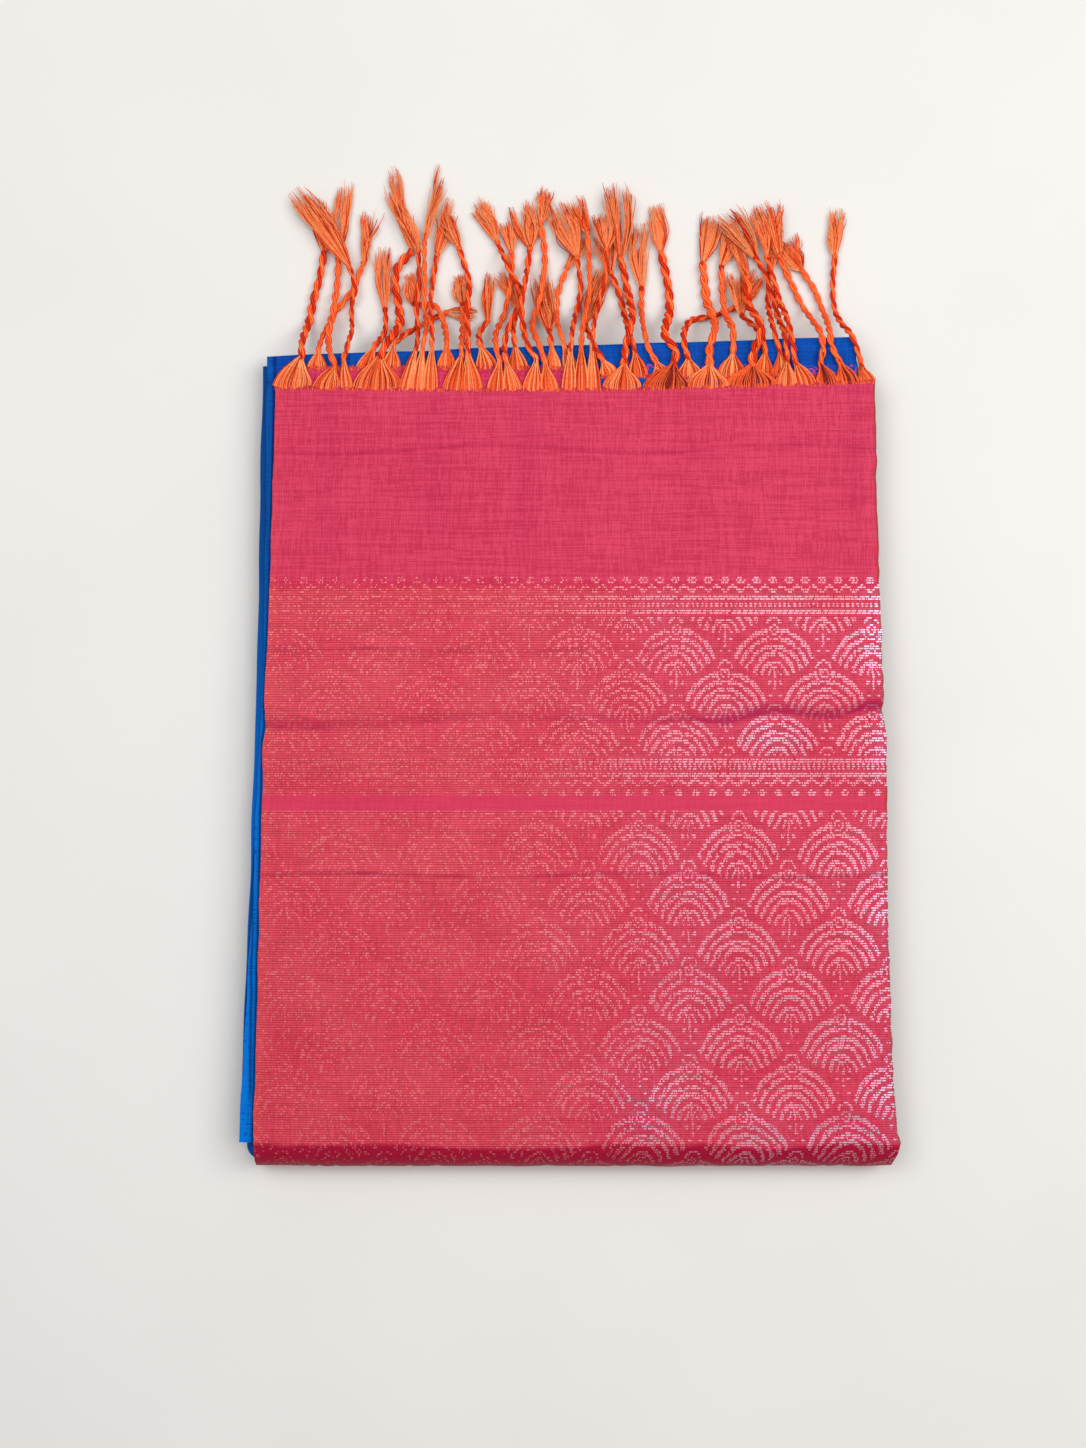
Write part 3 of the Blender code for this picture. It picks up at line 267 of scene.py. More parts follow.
@dataclass(frozen=True)
class SareeForm:
    """The heights and edges of the folded saree, the same ones that its solids have."""

    lay_gap: float = 0.3 * MM
    pallu_wall: float = 1.2 * MM
    second_depth: float = 2.3 * MM
    body_wall: float = 1 * MM
    body_fold_depth: float = 2.4 * MM
    floor_clear: float = 0.8 * MM
    heap_base: float = 1.5 * MM
    heap_at_tassels: float = 10.1 * MM
    heap_at_fold: float = 14 * MM
    heap_middle_x: float = 2 * MM
    heap_half_width: float = 147 * MM
    side_drop: float = 2.4 * MM
    side_drop_power: int = 6
    uneven: float = 0.35 * MM
    uneven_wave_x: float = 118 * MM
    uneven_wave_y: float = 171 * MM
    second_end_y: float = 137.3 * MM
    fold_start_y: float = -223.4 * MM
    fold_radius: float = 12.5 * MM
    pallu_end_y: float = 127 * MM
    pallu_end_curve: float = 2.7 * MM
    pallu_end_tilt: float = 1.2 * MM
    half_width: float = 142 * MM
    upper_fold_left_end_y: float = 145.2
    upper_fold_end_tilt: float = 8.9
    upper_fold_head: float = 154.1 * MM
    # The waves of the wavy fold, in millimetres: height, middle of a crest and length
    fold_wave: tuple[float, float, float] = (1.4, 96, 46)
    # Heights of the sheets' faces above the heap
    lower_fold_top: float = lay_gap + body_fold_depth
    upper_fold_top: float = lower_fold_top + lay_gap + body_fold_depth
    inner_border_top: float = upper_fold_top + lay_gap + body_wall
    second_top: float = upper_fold_top + lay_gap + second_depth
    pallu_top: float = second_top + lay_gap + pallu_wall

    def heap_top(self, x: Spots, y: Spots) -> Array:
        """Upper face of the hidden plies: thicker at the bottom fold, falling at the sides.

        Args:
            x, y: Places along X and Y.

        Returns:
            Heights above the floor.
        """
        along = (self.second_end_y - np.asarray(y)) / (self.second_end_y - self.fold_start_y)
        depth = self.heap_at_tassels + (self.heap_at_fold - self.heap_at_tassels) * np.clip(along, -0.1, 1)
        side = np.minimum(np.abs(np.asarray(x) - self.heap_middle_x) / self.heap_half_width, 1.08)
        wave = np.sin(TURN * np.asarray(x) / self.uneven_wave_x + 0.7)
        wave = wave * np.sin(TURN * np.asarray(y) / self.uneven_wave_y + 1.9)
        return self.heap_base + depth - self.side_drop * side**self.side_drop_power + self.uneven * wave

    @staticmethod
    def edges(table: Rows, y: Spots) -> tuple[Array, Array]:
        """Left and right edge of a sheet at y in metres, read between a table's rows."""
        rows = np.array(table[::-1]) * MM
        return np.interp(y, rows[:, 0], rows[:, 1]), np.interp(y, rows[:, 0], rows[:, 2])

    def pallu_end(self, x: Spots) -> Array:
        """Where the pallu's woven end lies at x, a shallow curve."""
        share = np.asarray(x) / self.half_width
        return self.pallu_end_y + self.pallu_end_curve * share * share + self.pallu_end_tilt * share

    def upper_fold_end(self, x: Spots) -> Array:
        """Where the upper body fold turns over.

        Args:
            x: Places along X.

        Returns:
            Places along Y.
        """
        left, right = self.edges(UPPER_FOLD_EDGES, self.upper_fold_head)
        climb = self.upper_fold_end_tilt * (np.asarray(x) - left) / (right - left)
        return (self.upper_fold_left_end_y + climb) * MM

    def crease_line(self, crease: Crease, x: Spots) -> Array:
        """The line of a crease, which is wavy at the right where the cloth is gathered into it.

        Args:
            crease: The crease.
            x: Places along X.

        Returns:
            Places along Y.
        """
        share = np.asarray(x) / self.half_width
        line = crease.y + crease.tilt * share + crease.bend * np.sin(TURN * share)
        if crease.height < 0:
            across = np.asarray(x) / MM
            height, middle, length = self.fold_wave
            wave = height * np.cos(TURN * (across - middle) / length) * ease((across - 20) / 50)
            line = line + wave + 2.4 * ease((across - 122) / 24) - ease(across / 60)
        return line * MM

    def relief(self, x: Array, y: Array) -> Array:
        """How far creases, each sharp one with a line pressed beside it, and wrinkles lift the pallu.

        Args:
            x, y: Places along X and Y.

        Returns:
            The lift in metres.
        """
        share = np.clip(x / self.half_width, -1, 1)
        rise = 0 * (x + y)
        for crease in CREASES:
            end_fade = np.where(share < 0, crease.fade_left, crease.fade_right)
            fade = crease.fade_middle + (end_fade - crease.fade_middle) * ease(np.abs(share))
            away = (y - self.crease_line(crease, x)) / (crease.spread * MM)
            rise = rise + crease.height * MM * fade * bell(away)
            if crease.spread < SHARP_SPREAD:
                patchy = 0.75 + 0.4 * ripple(x, 0, int(crease.y) + 900, 26 * MM)
                rise = rise - 0.45 * MM * fade * patchy * bell((away + 0.75) / 0.3)
        wrinkled = 0 * rise
        for wrinkle in WRINKLES:
            heading = math.radians(wrinkle.heading)
            step_x = x / MM - wrinkle.x
            step_y = y / MM - wrinkle.y
            along = (step_x * math.cos(heading) + step_y * math.sin(heading)) / wrinkle.half_length
            across = (step_y * math.cos(heading) - step_x * math.sin(heading)) / wrinkle.half_width
            across = across + 0.9 * np.sin(2.1 * along + wrinkle.x)
            wrinkled = wrinkled + wrinkle.height * MM * np.exp(-along * along - across * across)
        return np.maximum(rise, -0.42 * MM) + wrinkled


FORM = SareeForm()


# Sums of shader nodes


def sign(operation: str, swapped: bool = False) -> "Callable[..., Measure]":
    """A method that adds one Math node, with its two values swapped where that is asked for."""
    return lambda *amounts: reckon(operation, *(amounts[::-1] if swapped else amounts))


class Measure:
    """A value or colour that varies over a surface; plain signs on it add nodes to its tree."""

    __add__ = __radd__ = sign("ADD")
    __sub__ = sign("SUBTRACT")
    __rsub__ = sign("SUBTRACT", swapped=True)
    __mul__ = __rmul__ = sign("MULTIPLY")
    __truediv__ = sign("DIVIDE")
    __mod__ = sign("FLOORED_MODULO")
    __gt__ = sign("GREATER_THAN")
    __lt__ = sign("LESS_THAN")
    __abs__ = sign("ABSOLUTE")
    floor = sign("FLOOR")

    def __init__(self, socket: Socket) -> None:
        """Hold the socket that gives the value."""
        self.socket = socket

    def sine(self) -> "Measure":
        """The sine of this many turns."""
        return reckon("SINE", self * TURN)

    def within(self, low: float, high: float) -> "Measure":
        """1 where this lies between two limits, else 0."""
        return (self > low) * (self < high)

    def near(self, middle: "Measure | float", half: "Measure | float") -> "Measure":
        """1 where this is less than half away from the middle, else 0."""
        return abs(self - middle) < half

    def ramp(self, low: float, high: float) -> "Measure":
        """Smooth rise from 0 where this is low to 1 where it is high."""
        return compute("MapRange", interpolation_type="SMOOTHSTEP", Value=self, From_Min=low,
                       From_Max=high)

    def mix(self, first: "Measure | Colour", second: "Measure | Colour") -> "Measure":
        """Blend two colours by this, from the first where it is 0 to the second where it is 1."""
        return compute("Mix", output="Result", data_type="RGBA", Factor=self, A=first, B=second)

    def split(self) -> "list[Measure]":
        """Part a vector into its three values."""
        return [compute("SeparateXYZ", self, output=axis) for axis in "XYZ"]


def feed(socket: Socket, amount: Measure | Colour | float) -> None:
    """Feed an input from a measure, or set it to an even value."""
    if isinstance(amount, Measure):
        socket.id_data.links.new(amount.socket, socket)
    else:
        socket.default_value = (*amount, 1) if isinstance(amount, tuple) else amount


def compute(kind: str, *amounts: Measure | float, output: str | int = 0, tree: Tree | None = None,
            **labelled: object) -> Measure:
    """Add a node.

    Args:
        kind: The kind of shader node.
        amounts: Its first inputs.
        output: The output that is wanted.
        tree: Its tree, where no measure that feeds it has one.
        labelled: Its settings, in small letters, then other inputs by name, with _ for a space.

    Returns:
        What it gives.
    """
    fed = [one for one in (*amounts, *labelled.values()) if isinstance(one, Measure)]
    node = (tree or fed[0].socket.id_data).nodes.new(f"ShaderNode{kind}")
    for label, amount in labelled.items():
        if label.islower():
            setattr(node, label, amount)
        else:
            feed(node.inputs[label.replace("_", " ")], amount)
    for amount, socket in zip(amounts, node.inputs):
        feed(socket, amount)
    return Measure(node.outputs[output])


def reckon(operation: str, *amounts: Measure | float) -> Measure:
    """Add one Math node."""
    return compute("Math", *amounts, operation=operation)


def highest(*amounts: Measure) -> Measure:
    """Greatest of all the values."""
    first, *others = amounts
    return reckon("MAXIMUM", highest(*amounts[:-1]), amounts[-1]) if others else first


def length(first: Measure, second: Measure) -> Measure:
    """Length of the step with the two sides."""
    return reckon("SQRT", first * first + second * second)


def vector(*parts: Measure | float) -> Measure:
    """A vector made from two or three parts, or the one given."""
    return parts[0] if len(parts) == 1 else compute("CombineXYZ", *parts)


def noise(*parts: Measure | float, scale: float = 1.0, detail: float = 2.0) -> Measure:
    """Smooth noise of about 0 to 1 at the place with these parts."""
    return compute("TexNoise", output="Fac", Vector=vector(*parts), Scale=scale, Detail=detail)


def chance(*parts: Measure | float) -> Measure:
    """A fixed even chance of 0 to 1 for each cell with these parts."""
    return compute("TexWhiteNoise", vector(*parts), output="Value")


def new_group(name: str, **inputs: float) -> list[Measure]:
    """Start a shader node group with named number inputs.

    Args:
        name: The group's name.
        inputs: Each input's usual value, with _ for a space in its name.

    Returns:
        The inputs, to be read in the group.
    """
    group = bpy.data.node_groups.new(name, "ShaderNodeTree")
    for label, value in inputs.items():
        socket = group.interface.new_socket(label.replace("_", " "), in_out="INPUT",
                                            socket_type="NodeSocketFloat")
        socket.default_value = value
    entry = group.nodes.new("NodeGroupInput")
    return [Measure(socket) for socket in entry.outputs[:len(inputs)]]


def close_group(**outputs: Measure) -> Tree:
    """Give a group its outputs.

    Args:
        outputs: What each output gives, by its name.

    Returns:
        The group.
    """
    group = next(iter(outputs.values())).socket.id_data
    for label in outputs:
        group.interface.new_socket(label, in_out="OUTPUT", socket_type="NodeSocketFloat")
    leave = group.nodes.new("NodeGroupOutput")
    for label, amount in outputs.items():
        feed(leave.inputs[label], amount)
    return group


@cache
def weave_group() -> Tree:
    """Plain silk weave: warp and weft threads as height, and their uneven streaks as a mask.

    Returns:
        The group, with Across and Along in millimetres.
    """
    across, along, warp_pitch, weft_pitch = new_group("Silk weave", Across=0, Along=0, Warp_pitch=0.36,
                                                      Weft_pitch=0.42)
    crossing = (across / warp_pitch).sine() * (along / weft_pitch).sine()
    end = (across * 2.15).floor()
    pick = (along * 2.15).floor()
    end_run = (along * 0.14 + chance(end, 7)).floor()
    pick_run = (across * 0.05 + chance(pick, 9)).floor()
    soft = noise(across * 0.5, along * 0.9, detail=3)
    slub = noise(across * 0.09, along * 2.4, 5, detail=1)
    streaks = chance(end, end_run, 1) * 0.34 + chance(pick_run, pick, 2) * 0.34 + soft * 0.32
    return close_group(Height=crossing * 0.5 + streaks * 0.9, Streaks=streaks, Slubs=slub.ramp(0.66, 0.76))


@cache
def dash_group() -> Tree:
    """Metal weft laid in short dashes: the stepped place to draw with, and the dashes' mask.

    Returns:
        The group, with Across and Along in millimetres.
    """
    across, along, pitch, step = new_group("Weft dashes", Across=0, Along=0, Pitch=1.1, Step=0.55)
    row = (along / pitch).floor()
    middle = (row + 0.5) * pitch
    shift = chance(row, 3, 1)
    cell = (across / step + shift).floor()
    line = along.near(middle, pitch * 0.31)
    bound = (across / 2.7 + shift * 7) % 1
    return close_group(Across=(cell + 0.5 - shift) * step, Along=middle, Line=line,
                       Dash=line * (bound > 0.15), Chance=chance(cell, row, 0))


@cache
def scale_group() -> Tree:
    """One lattice of the traditional fish-scale arches, each with rings of bands and a palmette.

    Returns:
        The group, whose Motif is 1 where metal weft floats on the face.
    """
    across, along, column_pitch, row_pitch, first_across, first_along = new_group(
        "Fish-scale arches", Across=0, Along=0, Column_pitch=46.2, Row_pitch=22.5, First_across=0,
        First_along=0)
    stray = (noise(across * 0.3, along * 0.3, detail=1) - 0.5) * 1.9
    half = column_pitch * 0.5
    across = (across - first_across + half) % column_pitch - half
    side = abs(across)
    fall = ((first_along - along + 7) % (row_pitch * 2) - 7) * 20 / row_pitch
    wide = length(across, (22.6 - fall) / 1.13) + stray
    tall = length(across, (25 - fall) / 1.45) + stray
    apex = length(across, fall)
    cut = (fall < 22.6 - side * side * 0.026) * (fall > -1.5)

    outer = wide.near(20, 0.95) * (fall < 14.8) * (apex > 3.1) * cut
    second = wide.near(16.5, 0.9) * (apex > 5.2) * cut
    inner = highest(wide.near(13.1, 0.85), tall.near(9.8, 0.75), tall.near(6.7, 0.7)) * (apex > 5.2) * cut
    stalk = (side < 0.4) * fall.within(16.8, 26.4)
    leaf = side.near((fall - 15.4) * 0.5, 0.5) * fall.within(17.2, 21.8)
    drops = length(side - 2.6, fall - 24.4) < 0.85
    pendant = length(across, fall - 27.2) < 0.75
    dashes = side.near(2.1, 0.85) * fall.near(30.2, 0.5)
    crown = length(across, fall + 2.4).near(3.1, 0.55) * (fall < -2.3)
    medal = highest(apex.near(1.9, 0.5), apex < 0.6)
    necklace = apex.near(4.3, 0.45) * (fall > 1.2)
    return close_group(Motif=highest(outer, second, inner, stalk, leaf, drops, pendant, dashes, crown, medal,
                                     necklace))


@cache
def twist_group() -> Tree:
    """Spun thread: slanting fibres round a cord as height, and painted shade in the lines between them as a
    mask.

    Returns:
        The group, fed by the cord's own unwrapped place.
    """
    around, run, turns, fibres = new_group("Spun thread", Around=0, Length=0, Turns=9, Fibres=6)
    slant = around * fibres + run * turns
    fibre = slant.sine()
    fuzz = noise(slant * 1.6, run * 14, detail=3)
    return close_group(Height=fibre * 0.5 + fuzz, Shade=fibre * 0.35 + fuzz)


# Finishes


@dataclass(frozen=True)
class Finish:
    """A finish of the saree: its material, one Principled shader and what that reads of the cloth."""

    name: str

    @cached_property
    def material(self) -> Material:
        """The material, before its shader is set.

        Returns:
            The material.
        """
        material = bpy.data.materials.new(self.name)
        material.use_nodes = True
        return material

    @cached_property
    def cloth(self) -> tuple[Measure, Measure, dict[str, Measure]]:
        """Across and along the cloth in millimetres, from its own unwrapped map, and its weave.

        Returns:
            Both places and what the weave gives.
        """
        places = self.read("UVMap", "UV", uv_map="weave").split()
        across, along = (part * PER_METRE for part in places[:2])
        return across, along, self.use(weave_group(), Across=across, Along=along)

    def set(self, **values: Measure | Colour | float) -> None:
        """Feed the shader's inputs, with _ for a space in their names."""
        for label, value in values.items():
            feed(self.material.node_tree.nodes["Principled BSDF"].inputs[label.replace("_", " ")], value)

    def read(self, kind: str, output: str | int, **settings: object) -> Measure:
        """Add a node that no measure feeds, with its own settings."""
        return compute(kind, output=output, tree=self.material.node_tree, **settings)

    def spot(self) -> Measure:
        """The place on the piece in metres."""
        return self.read("TexCoord", "Object")

    def mark(self, name: str) -> Measure:
        """One of the piece's own painted marks."""
        return self.read("Attribute", "Fac", attribute_name=name)

    def facing(self, blend: float) -> Measure:
        """How far the face turns away from the eye, for the sheen of shot silk and for painted shade on the
        threads.
        """
        return self.read("LayerWeight", "Facing", Blend=blend)

    def use(self, group: Tree, **values: Measure | float) -> dict[str, Measure]:
        """Place a shared group with this finish's own values, and give its outputs by name."""
        first = self.read("Group", 0, node_tree=group, **values)
        return {socket.name: Measure(socket) for socket in first.socket.node.outputs}

    def raise_by(self, height: Measure, strength: float, distance: float) -> None:
        """Feed the shader's normal from a height mask of a strength and of a depth in metres."""
        self.set(Normal=compute("Bump", output="Normal", Strength=strength, Distance=distance,
                                Height=height))

    def set_up(self) -> None:
        """Set the shader that gives the finish."""
        raise NotImplementedError

    def make(self) -> Material:
        """Set the material up and hand it over."""
        self.set_up()
        return self.material


@dataclass(frozen=True)
class WovenRows:
    """Rows of the woven pattern across the pallu, each 1 where metal weft floats on the face."""

    across: Measure
    along: Measure
    bud_pitch: float = 7.7
    bud_shift: float = 3.2
    bar_pitch: float = 2.3
    bar_width: float = 1.2
    # Height and half width of each float of a bud
    bud_floats: Rows = ((1.1, 0.9), (0, 1.9), (-1.1, 1.5))

    def bud_step(self) -> Measure:
        """Distance across from the nearest flower of a row."""
        return abs((self.across + self.bud_shift) % self.bud_pitch - 0.5 * self.bud_pitch)

    def flowers(self, middle: float) -> Measure:
        """A row of small ring flowers."""
        reach = length(self.bud_step(), self.along - middle)
        return highest(reach.near(1.45, 0.55), reach < 0.4)

    def buds(self, middle: float) -> Measure:
        """A row of small buds, each of three short floats of weft."""
        step = self.bud_step()
        return highest(*(self.along.near(middle + rise, 0.55) * (step < half)
                         for rise, half in self.bud_floats))

    def garland(self, middle: float, half: float) -> Measure:
        """A garland line that dips at every flower, or rises there where half is below 0."""
        tooth = abs((self.across + self.bud_shift) / self.bud_pitch % 1 - 0.5)
        return self.along.near(middle + (tooth - 0.25) * (4 * half), 0.85)

    def ladder(self, middle: float, half: float, *lines: float) -> Measure:
        """A row of short bars between dashed lines."""
        bars = (self.across % self.bar_pitch < self.bar_width) * self.along.near(middle, half)
        return highest(bars, *(self.along.near(line, 0.56) for line in lines))


@dataclass(frozen=True)
class RoseBrocade(Finish):
    """The pallu's shot rose silk with its woven metal bands."""

    plain: Colour = srgb(204, 56, 89)
    plain_dark: Colour = srgb(184, 35, 71)
    ground: Colour = srgb(198, 38, 71)
    ground_dark: Colour = srgb(177, 18, 51)
    deep_band: Colour = srgb(206, 60, 94)
    # Darker crimson of the bottom roll, painted shade where the cloth turns under
    roll: Colour = srgb(146, 2, 42)
    # Violet of the shot weft, also painted into the creases as shade
    violet: Colour = srgb(158, 2, 62)
    selvedge: Colour = srgb(140, 52, 24)
    warm_edge: Colour = srgb(222, 82, 56)
    # One metal in two tones: dull where it is painted as out of the light, pale and cool where it is painted
    # as glinting
    painted_dull_metal: Colour = srgb(226, 148, 136)
    painted_glint_metal: Colour = srgb(214, 196, 230)
    cloth_width: float = 290.0
    selvedge_width: float = 0.9
    column_pitch: float = 46.2
    # The plain band between the two fields of arches
    band_foot: float = -68.4
    band_head: float = -61.1

    def set_up(self) -> None:
        """Lay metal dashes over the silk, painted brighter at the right and where painted highlights make
        them glint.
        """
        across, along, weave = self.cloth
        spot_x = self.spot().split()[0]
        dash = self.use(dash_group(), Across=across, Along=along)
        drawn = self.pattern(dash["Across"], dash["Along"])

        # Painted light: towards the right the metal is painted brighter and paler, and more of its dashes
        # show, as if it glinted there
        painted_light_at_right = (spot_x * PER_METRE).ramp(-60, 95)
        cloud = noise(across * 0.028, along * 0.028).ramp(0.32, 0.68)
        bright = painted_light_at_right * (0.4 + cloud * 0.3) + self.mark("painted_gleam") * 0.75
        luck = dash["Chance"] > 0.62 - painted_light_at_right * 0.54
        metal = drawn * dash["Dash"] * luck * (0.5 + bright * 0.28)
        haze = dash["Line"] * (0.09 + cloud * 0.07 + dash["Chance"] * 0.09)
        zone = along.ramp(38, 33) * (1 - along.within(self.band_foot, self.band_head))
        # Painted shade in the creases and the roll's gathers, which also hides some metal
        painted_shade = self.mark("painted_shade")
        # Painted shade on the bottom roll, which also dulls the metal there
        painted_roll_shade = (along + cloud * 2.2).ramp(-221.8, -224.6)
        haze = haze * zone * (1 - painted_light_at_right * 0.45) * (1 - painted_roll_shade)
        share = highest(metal, haze) * (1 - painted_shade * 0.75) * (1 - painted_roll_shade * 0.35)

        ground = (painted_roll_shade * 0.88).mix(self.silk(painted_shade), self.roll)
        # Painted glint: the brighter the painted light, the paler and cooler the metal
        tint = (bright * (0.5 + dash["Chance"] * 0.5)).mix(self.painted_dull_metal, self.painted_glint_metal)
        self.raise_by(weave["Height"] * 0.35 + share * 0.9, 0.5, 0.12 * MM)
        self.set(Base_Color=share.mix(ground, tint), Metallic=share * 0.55, Roughness=0.5 - share * 0.16,
                 Sheen_Weight=0.01, Sheen_Roughness=0.35, Specular_IOR_Level=0.12)

    def silk(self, painted_shade: Measure) -> Measure:
        """The silk's colour, zone by zone, with streaks, slubs, its violet weft and violet painted shade in
        its creases.

        Args:
            painted_shade: Painted shade along the wavy fold and the other creases, in the bottom roll's
                gathers and on the plain head.

        Returns:
            The colour.
        """
        across, along, weave = self.cloth
        streak = weave["Streaks"].ramp(0.3, 0.7)
        plain = streak.mix(self.plain_dark, self.plain)
        brocade = streak.mix(self.ground_dark, self.ground)
        colour = along.ramp(41, 34).mix(plain, brocade)
        colour = (along.within(self.band_foot, self.band_head) * 0.5).mix(colour, self.deep_band)
        colour = (weave["Slubs"] * 0.35).mix(colour, self.plain_dark)
        # Painted shade: the creases are painted dark violet; the turned faces show a violet sheen
        colour = (painted_shade * 0.92 + self.facing(0.25) * 0.3).mix(colour, self.violet)
        colour = (across.ramp(7, 0) * 0.14).mix(colour, self.warm_edge)
        return ((across > self.cloth_width - self.selvedge_width) * 0.8).mix(colour, self.selvedge)

    def pattern(self, across: Measure, along: Measure) -> Measure:
        """The woven pattern, band by band down the pallu.

        Args:
            across: Stepped place across the cloth.
            along: Stepped place along the cloth.

        Returns:
            1 where metal shows.
        """
        rows = WovenRows(across, along)
        lower = along < -60
        row_pitch = 20.1 + lower * 2.45
        first_along = 36 - lower * 88.7
        first_across = 192.8 - lower * 18.2
        lattices = ((first_across + 0.5 * self.column_pitch, first_along),
                    (first_across, first_along - row_pitch))
        arches = highest(*(self.use(scale_group(), Across=across, Along=along, Row_pitch=row_pitch,
                                    Column_pitch=self.column_pitch, First_across=x, First_along=y)["Motif"]
                           for x, y in lattices))
        arches = arches * highest(along.within(-43.4, 22.3), along < -68.6)
        return highest(rows.flowers(39.2), rows.garland(35.1, 1.5),
                       rows.ladder(27.7, 1.2, 31.3, 30, 24.9, 23.2),
                       rows.ladder(-48, 1.5, -44.3, -45.4, -50.8, -51.9), rows.garland(-55, -1.5),
                       rows.buds(-59.5), arches)


@dataclass(frozen=True)
class PlainSilk(Finish):
    """Plain silk of one hue, with a second hue in its streaks and its turned faces."""

    light: Colour
    dark: Colour
    turned: Colour
    roughness: float = 0.36
    flecks: Colour | None = None
    # The side strip's blue, painted lighter as painted light, and the colour of painted shade
    side: Colour | None = None
    painted_shade_colour: Colour = srgb(2, 20, 70)

    def set_up(self) -> None:
        """Colour the weave, and add the flecks, or the side strip's painted light and painted shade, where
        the silk has them.
        """
        across, along, weave = self.cloth
        cloud = noise(across * 0.02, along * 0.015, detail=3)
        colour = weave["Streaks"].ramp(0.3, 0.7).mix(self.dark, self.light)
        colour = (cloud.ramp(0.35, 0.7) * 0.3).mix(colour, self.turned)
        colour = (self.facing(0.3) * 0.4).mix(colour, self.turned)
        if self.side is not None:
            spot_x, spot_y, _ = self.spot().split()
            # Painted light: the side strip is painted a brighter blue; painted shade darkens it towards the
            # top, in its groove and beside the pallu's edge
            strip = (spot_x * PER_METRE).ramp(-138.5, -141)
            colour = (strip * weave["Streaks"].ramp(0.1, 0.45)).mix(colour, self.side)
            shaded = strip * (spot_y * PER_METRE).ramp(-90, 80) * 0.55
            colour = highest(shaded, self.mark("groove")).mix(colour, self.painted_shade_colour)
        if self.flecks is not None:
            dash = self.use(dash_group(), Across=across, Along=along, Pitch=0.9, Step=1.3)
            patch = noise(across * 0.11, along * 0.2, detail=1).ramp(0.4, 0.7)
            luck = dash["Chance"] > 1.08 - patch * 0.65
            colour = (luck * dash["Dash"] * 0.9).mix(colour, self.flecks)
        self.raise_by(weave["Height"], 0.4, 0.1 * MM)
        self.set(Base_Color=colour, Roughness=self.roughness + weave["Streaks"] * 0.08, Sheen_Weight=0,
                 Specular_IOR_Level=0.04)


@dataclass(frozen=True)
class PlyEdges(Finish):
    """The stacked edges of the hidden plies, ply by ply in two blues."""

    light: Colour = srgb(4, 96, 186)
    dark: Colour = srgb(6, 40, 104)

    def set_up(self) -> None:
        """Give every ply its own blue."""
        across, along, weave = self.cloth
        colour = chance(self.mark("ply").floor(), 4, 2).mix(self.dark, self.light)
        colour = (weave["Streaks"].ramp(0.3, 0.7) * 0.3).mix(colour, self.dark)
        self.raise_by(weave["Height"], 0.4, 0.1 * MM)
        self.set(Base_Color=colour, Roughness=0.45 + weave["Streaks"] * 0.1, Sheen_Weight=0.02,
                 Specular_IOR_Level=0.12)


@dataclass(frozen=True)
class SpunThread(Finish):
    """A dyed silk thread of the tassels, with another dye near the cloth."""

    light: Colour
    dark: Colour
    root: Colour = srgb(244, 98, 60)
    turns: float = 9.0
    warm_sheen: Colour = (1, 0.16, 0.02)

    def set_up(self) -> None:
        """Run fibres round the thread, with painted shade between its fibres and where it turns away from
        the eye.
        """
        run, around, _ = self.read("UVMap", "UV", uv_map="UVMap").split()
        spot = self.spot()
        _, spot_y, _ = spot.split()
        spun = self.use(twist_group(), Around=around, Length=run, Turns=self.turns)
        shade = spun["Shade"] * 0.7 + noise(spot, scale=170) * 0.3
        colour = shade.ramp(0.32, 0.68).mix(self.dark, self.light)
        colour = ((spot_y * PER_METRE).ramp(141, 129) * 0.35).mix(colour, self.root)
        # Painted shade where the thread turns away, as between its plies
        painted_shade_colour = (0.85 * self.dark[0], 0.2 * self.dark[1], 0.1 * self.dark[2])
        self.raise_by(spun["Height"], 0.6, 0.12 * MM)
        self.set(Base_Color=(self.facing(0.35) * 0.85).mix(colour, painted_shade_colour), Roughness=0.55 - shade * 0.12,
                 Sheen_Weight=0.2, Sheen_Roughness=0.5, Sheen_Tint=self.warm_sheen, Specular_IOR_Level=0.06)


@dataclass(frozen=True)
class PaleFloor(Finish):
    """The plain pale floor."""

    tone: Colour = srgb(224, 221, 216)

    def set_up(self) -> None:
        """Vary the floor's tone a little."""
        darker = tuple(0.94 * part for part in self.tone)
        self.set(Base_Color=noise(self.spot(), scale=9).mix(self.tone, darker), Roughness=0.85,
                 Specular_IOR_Level=0.2)


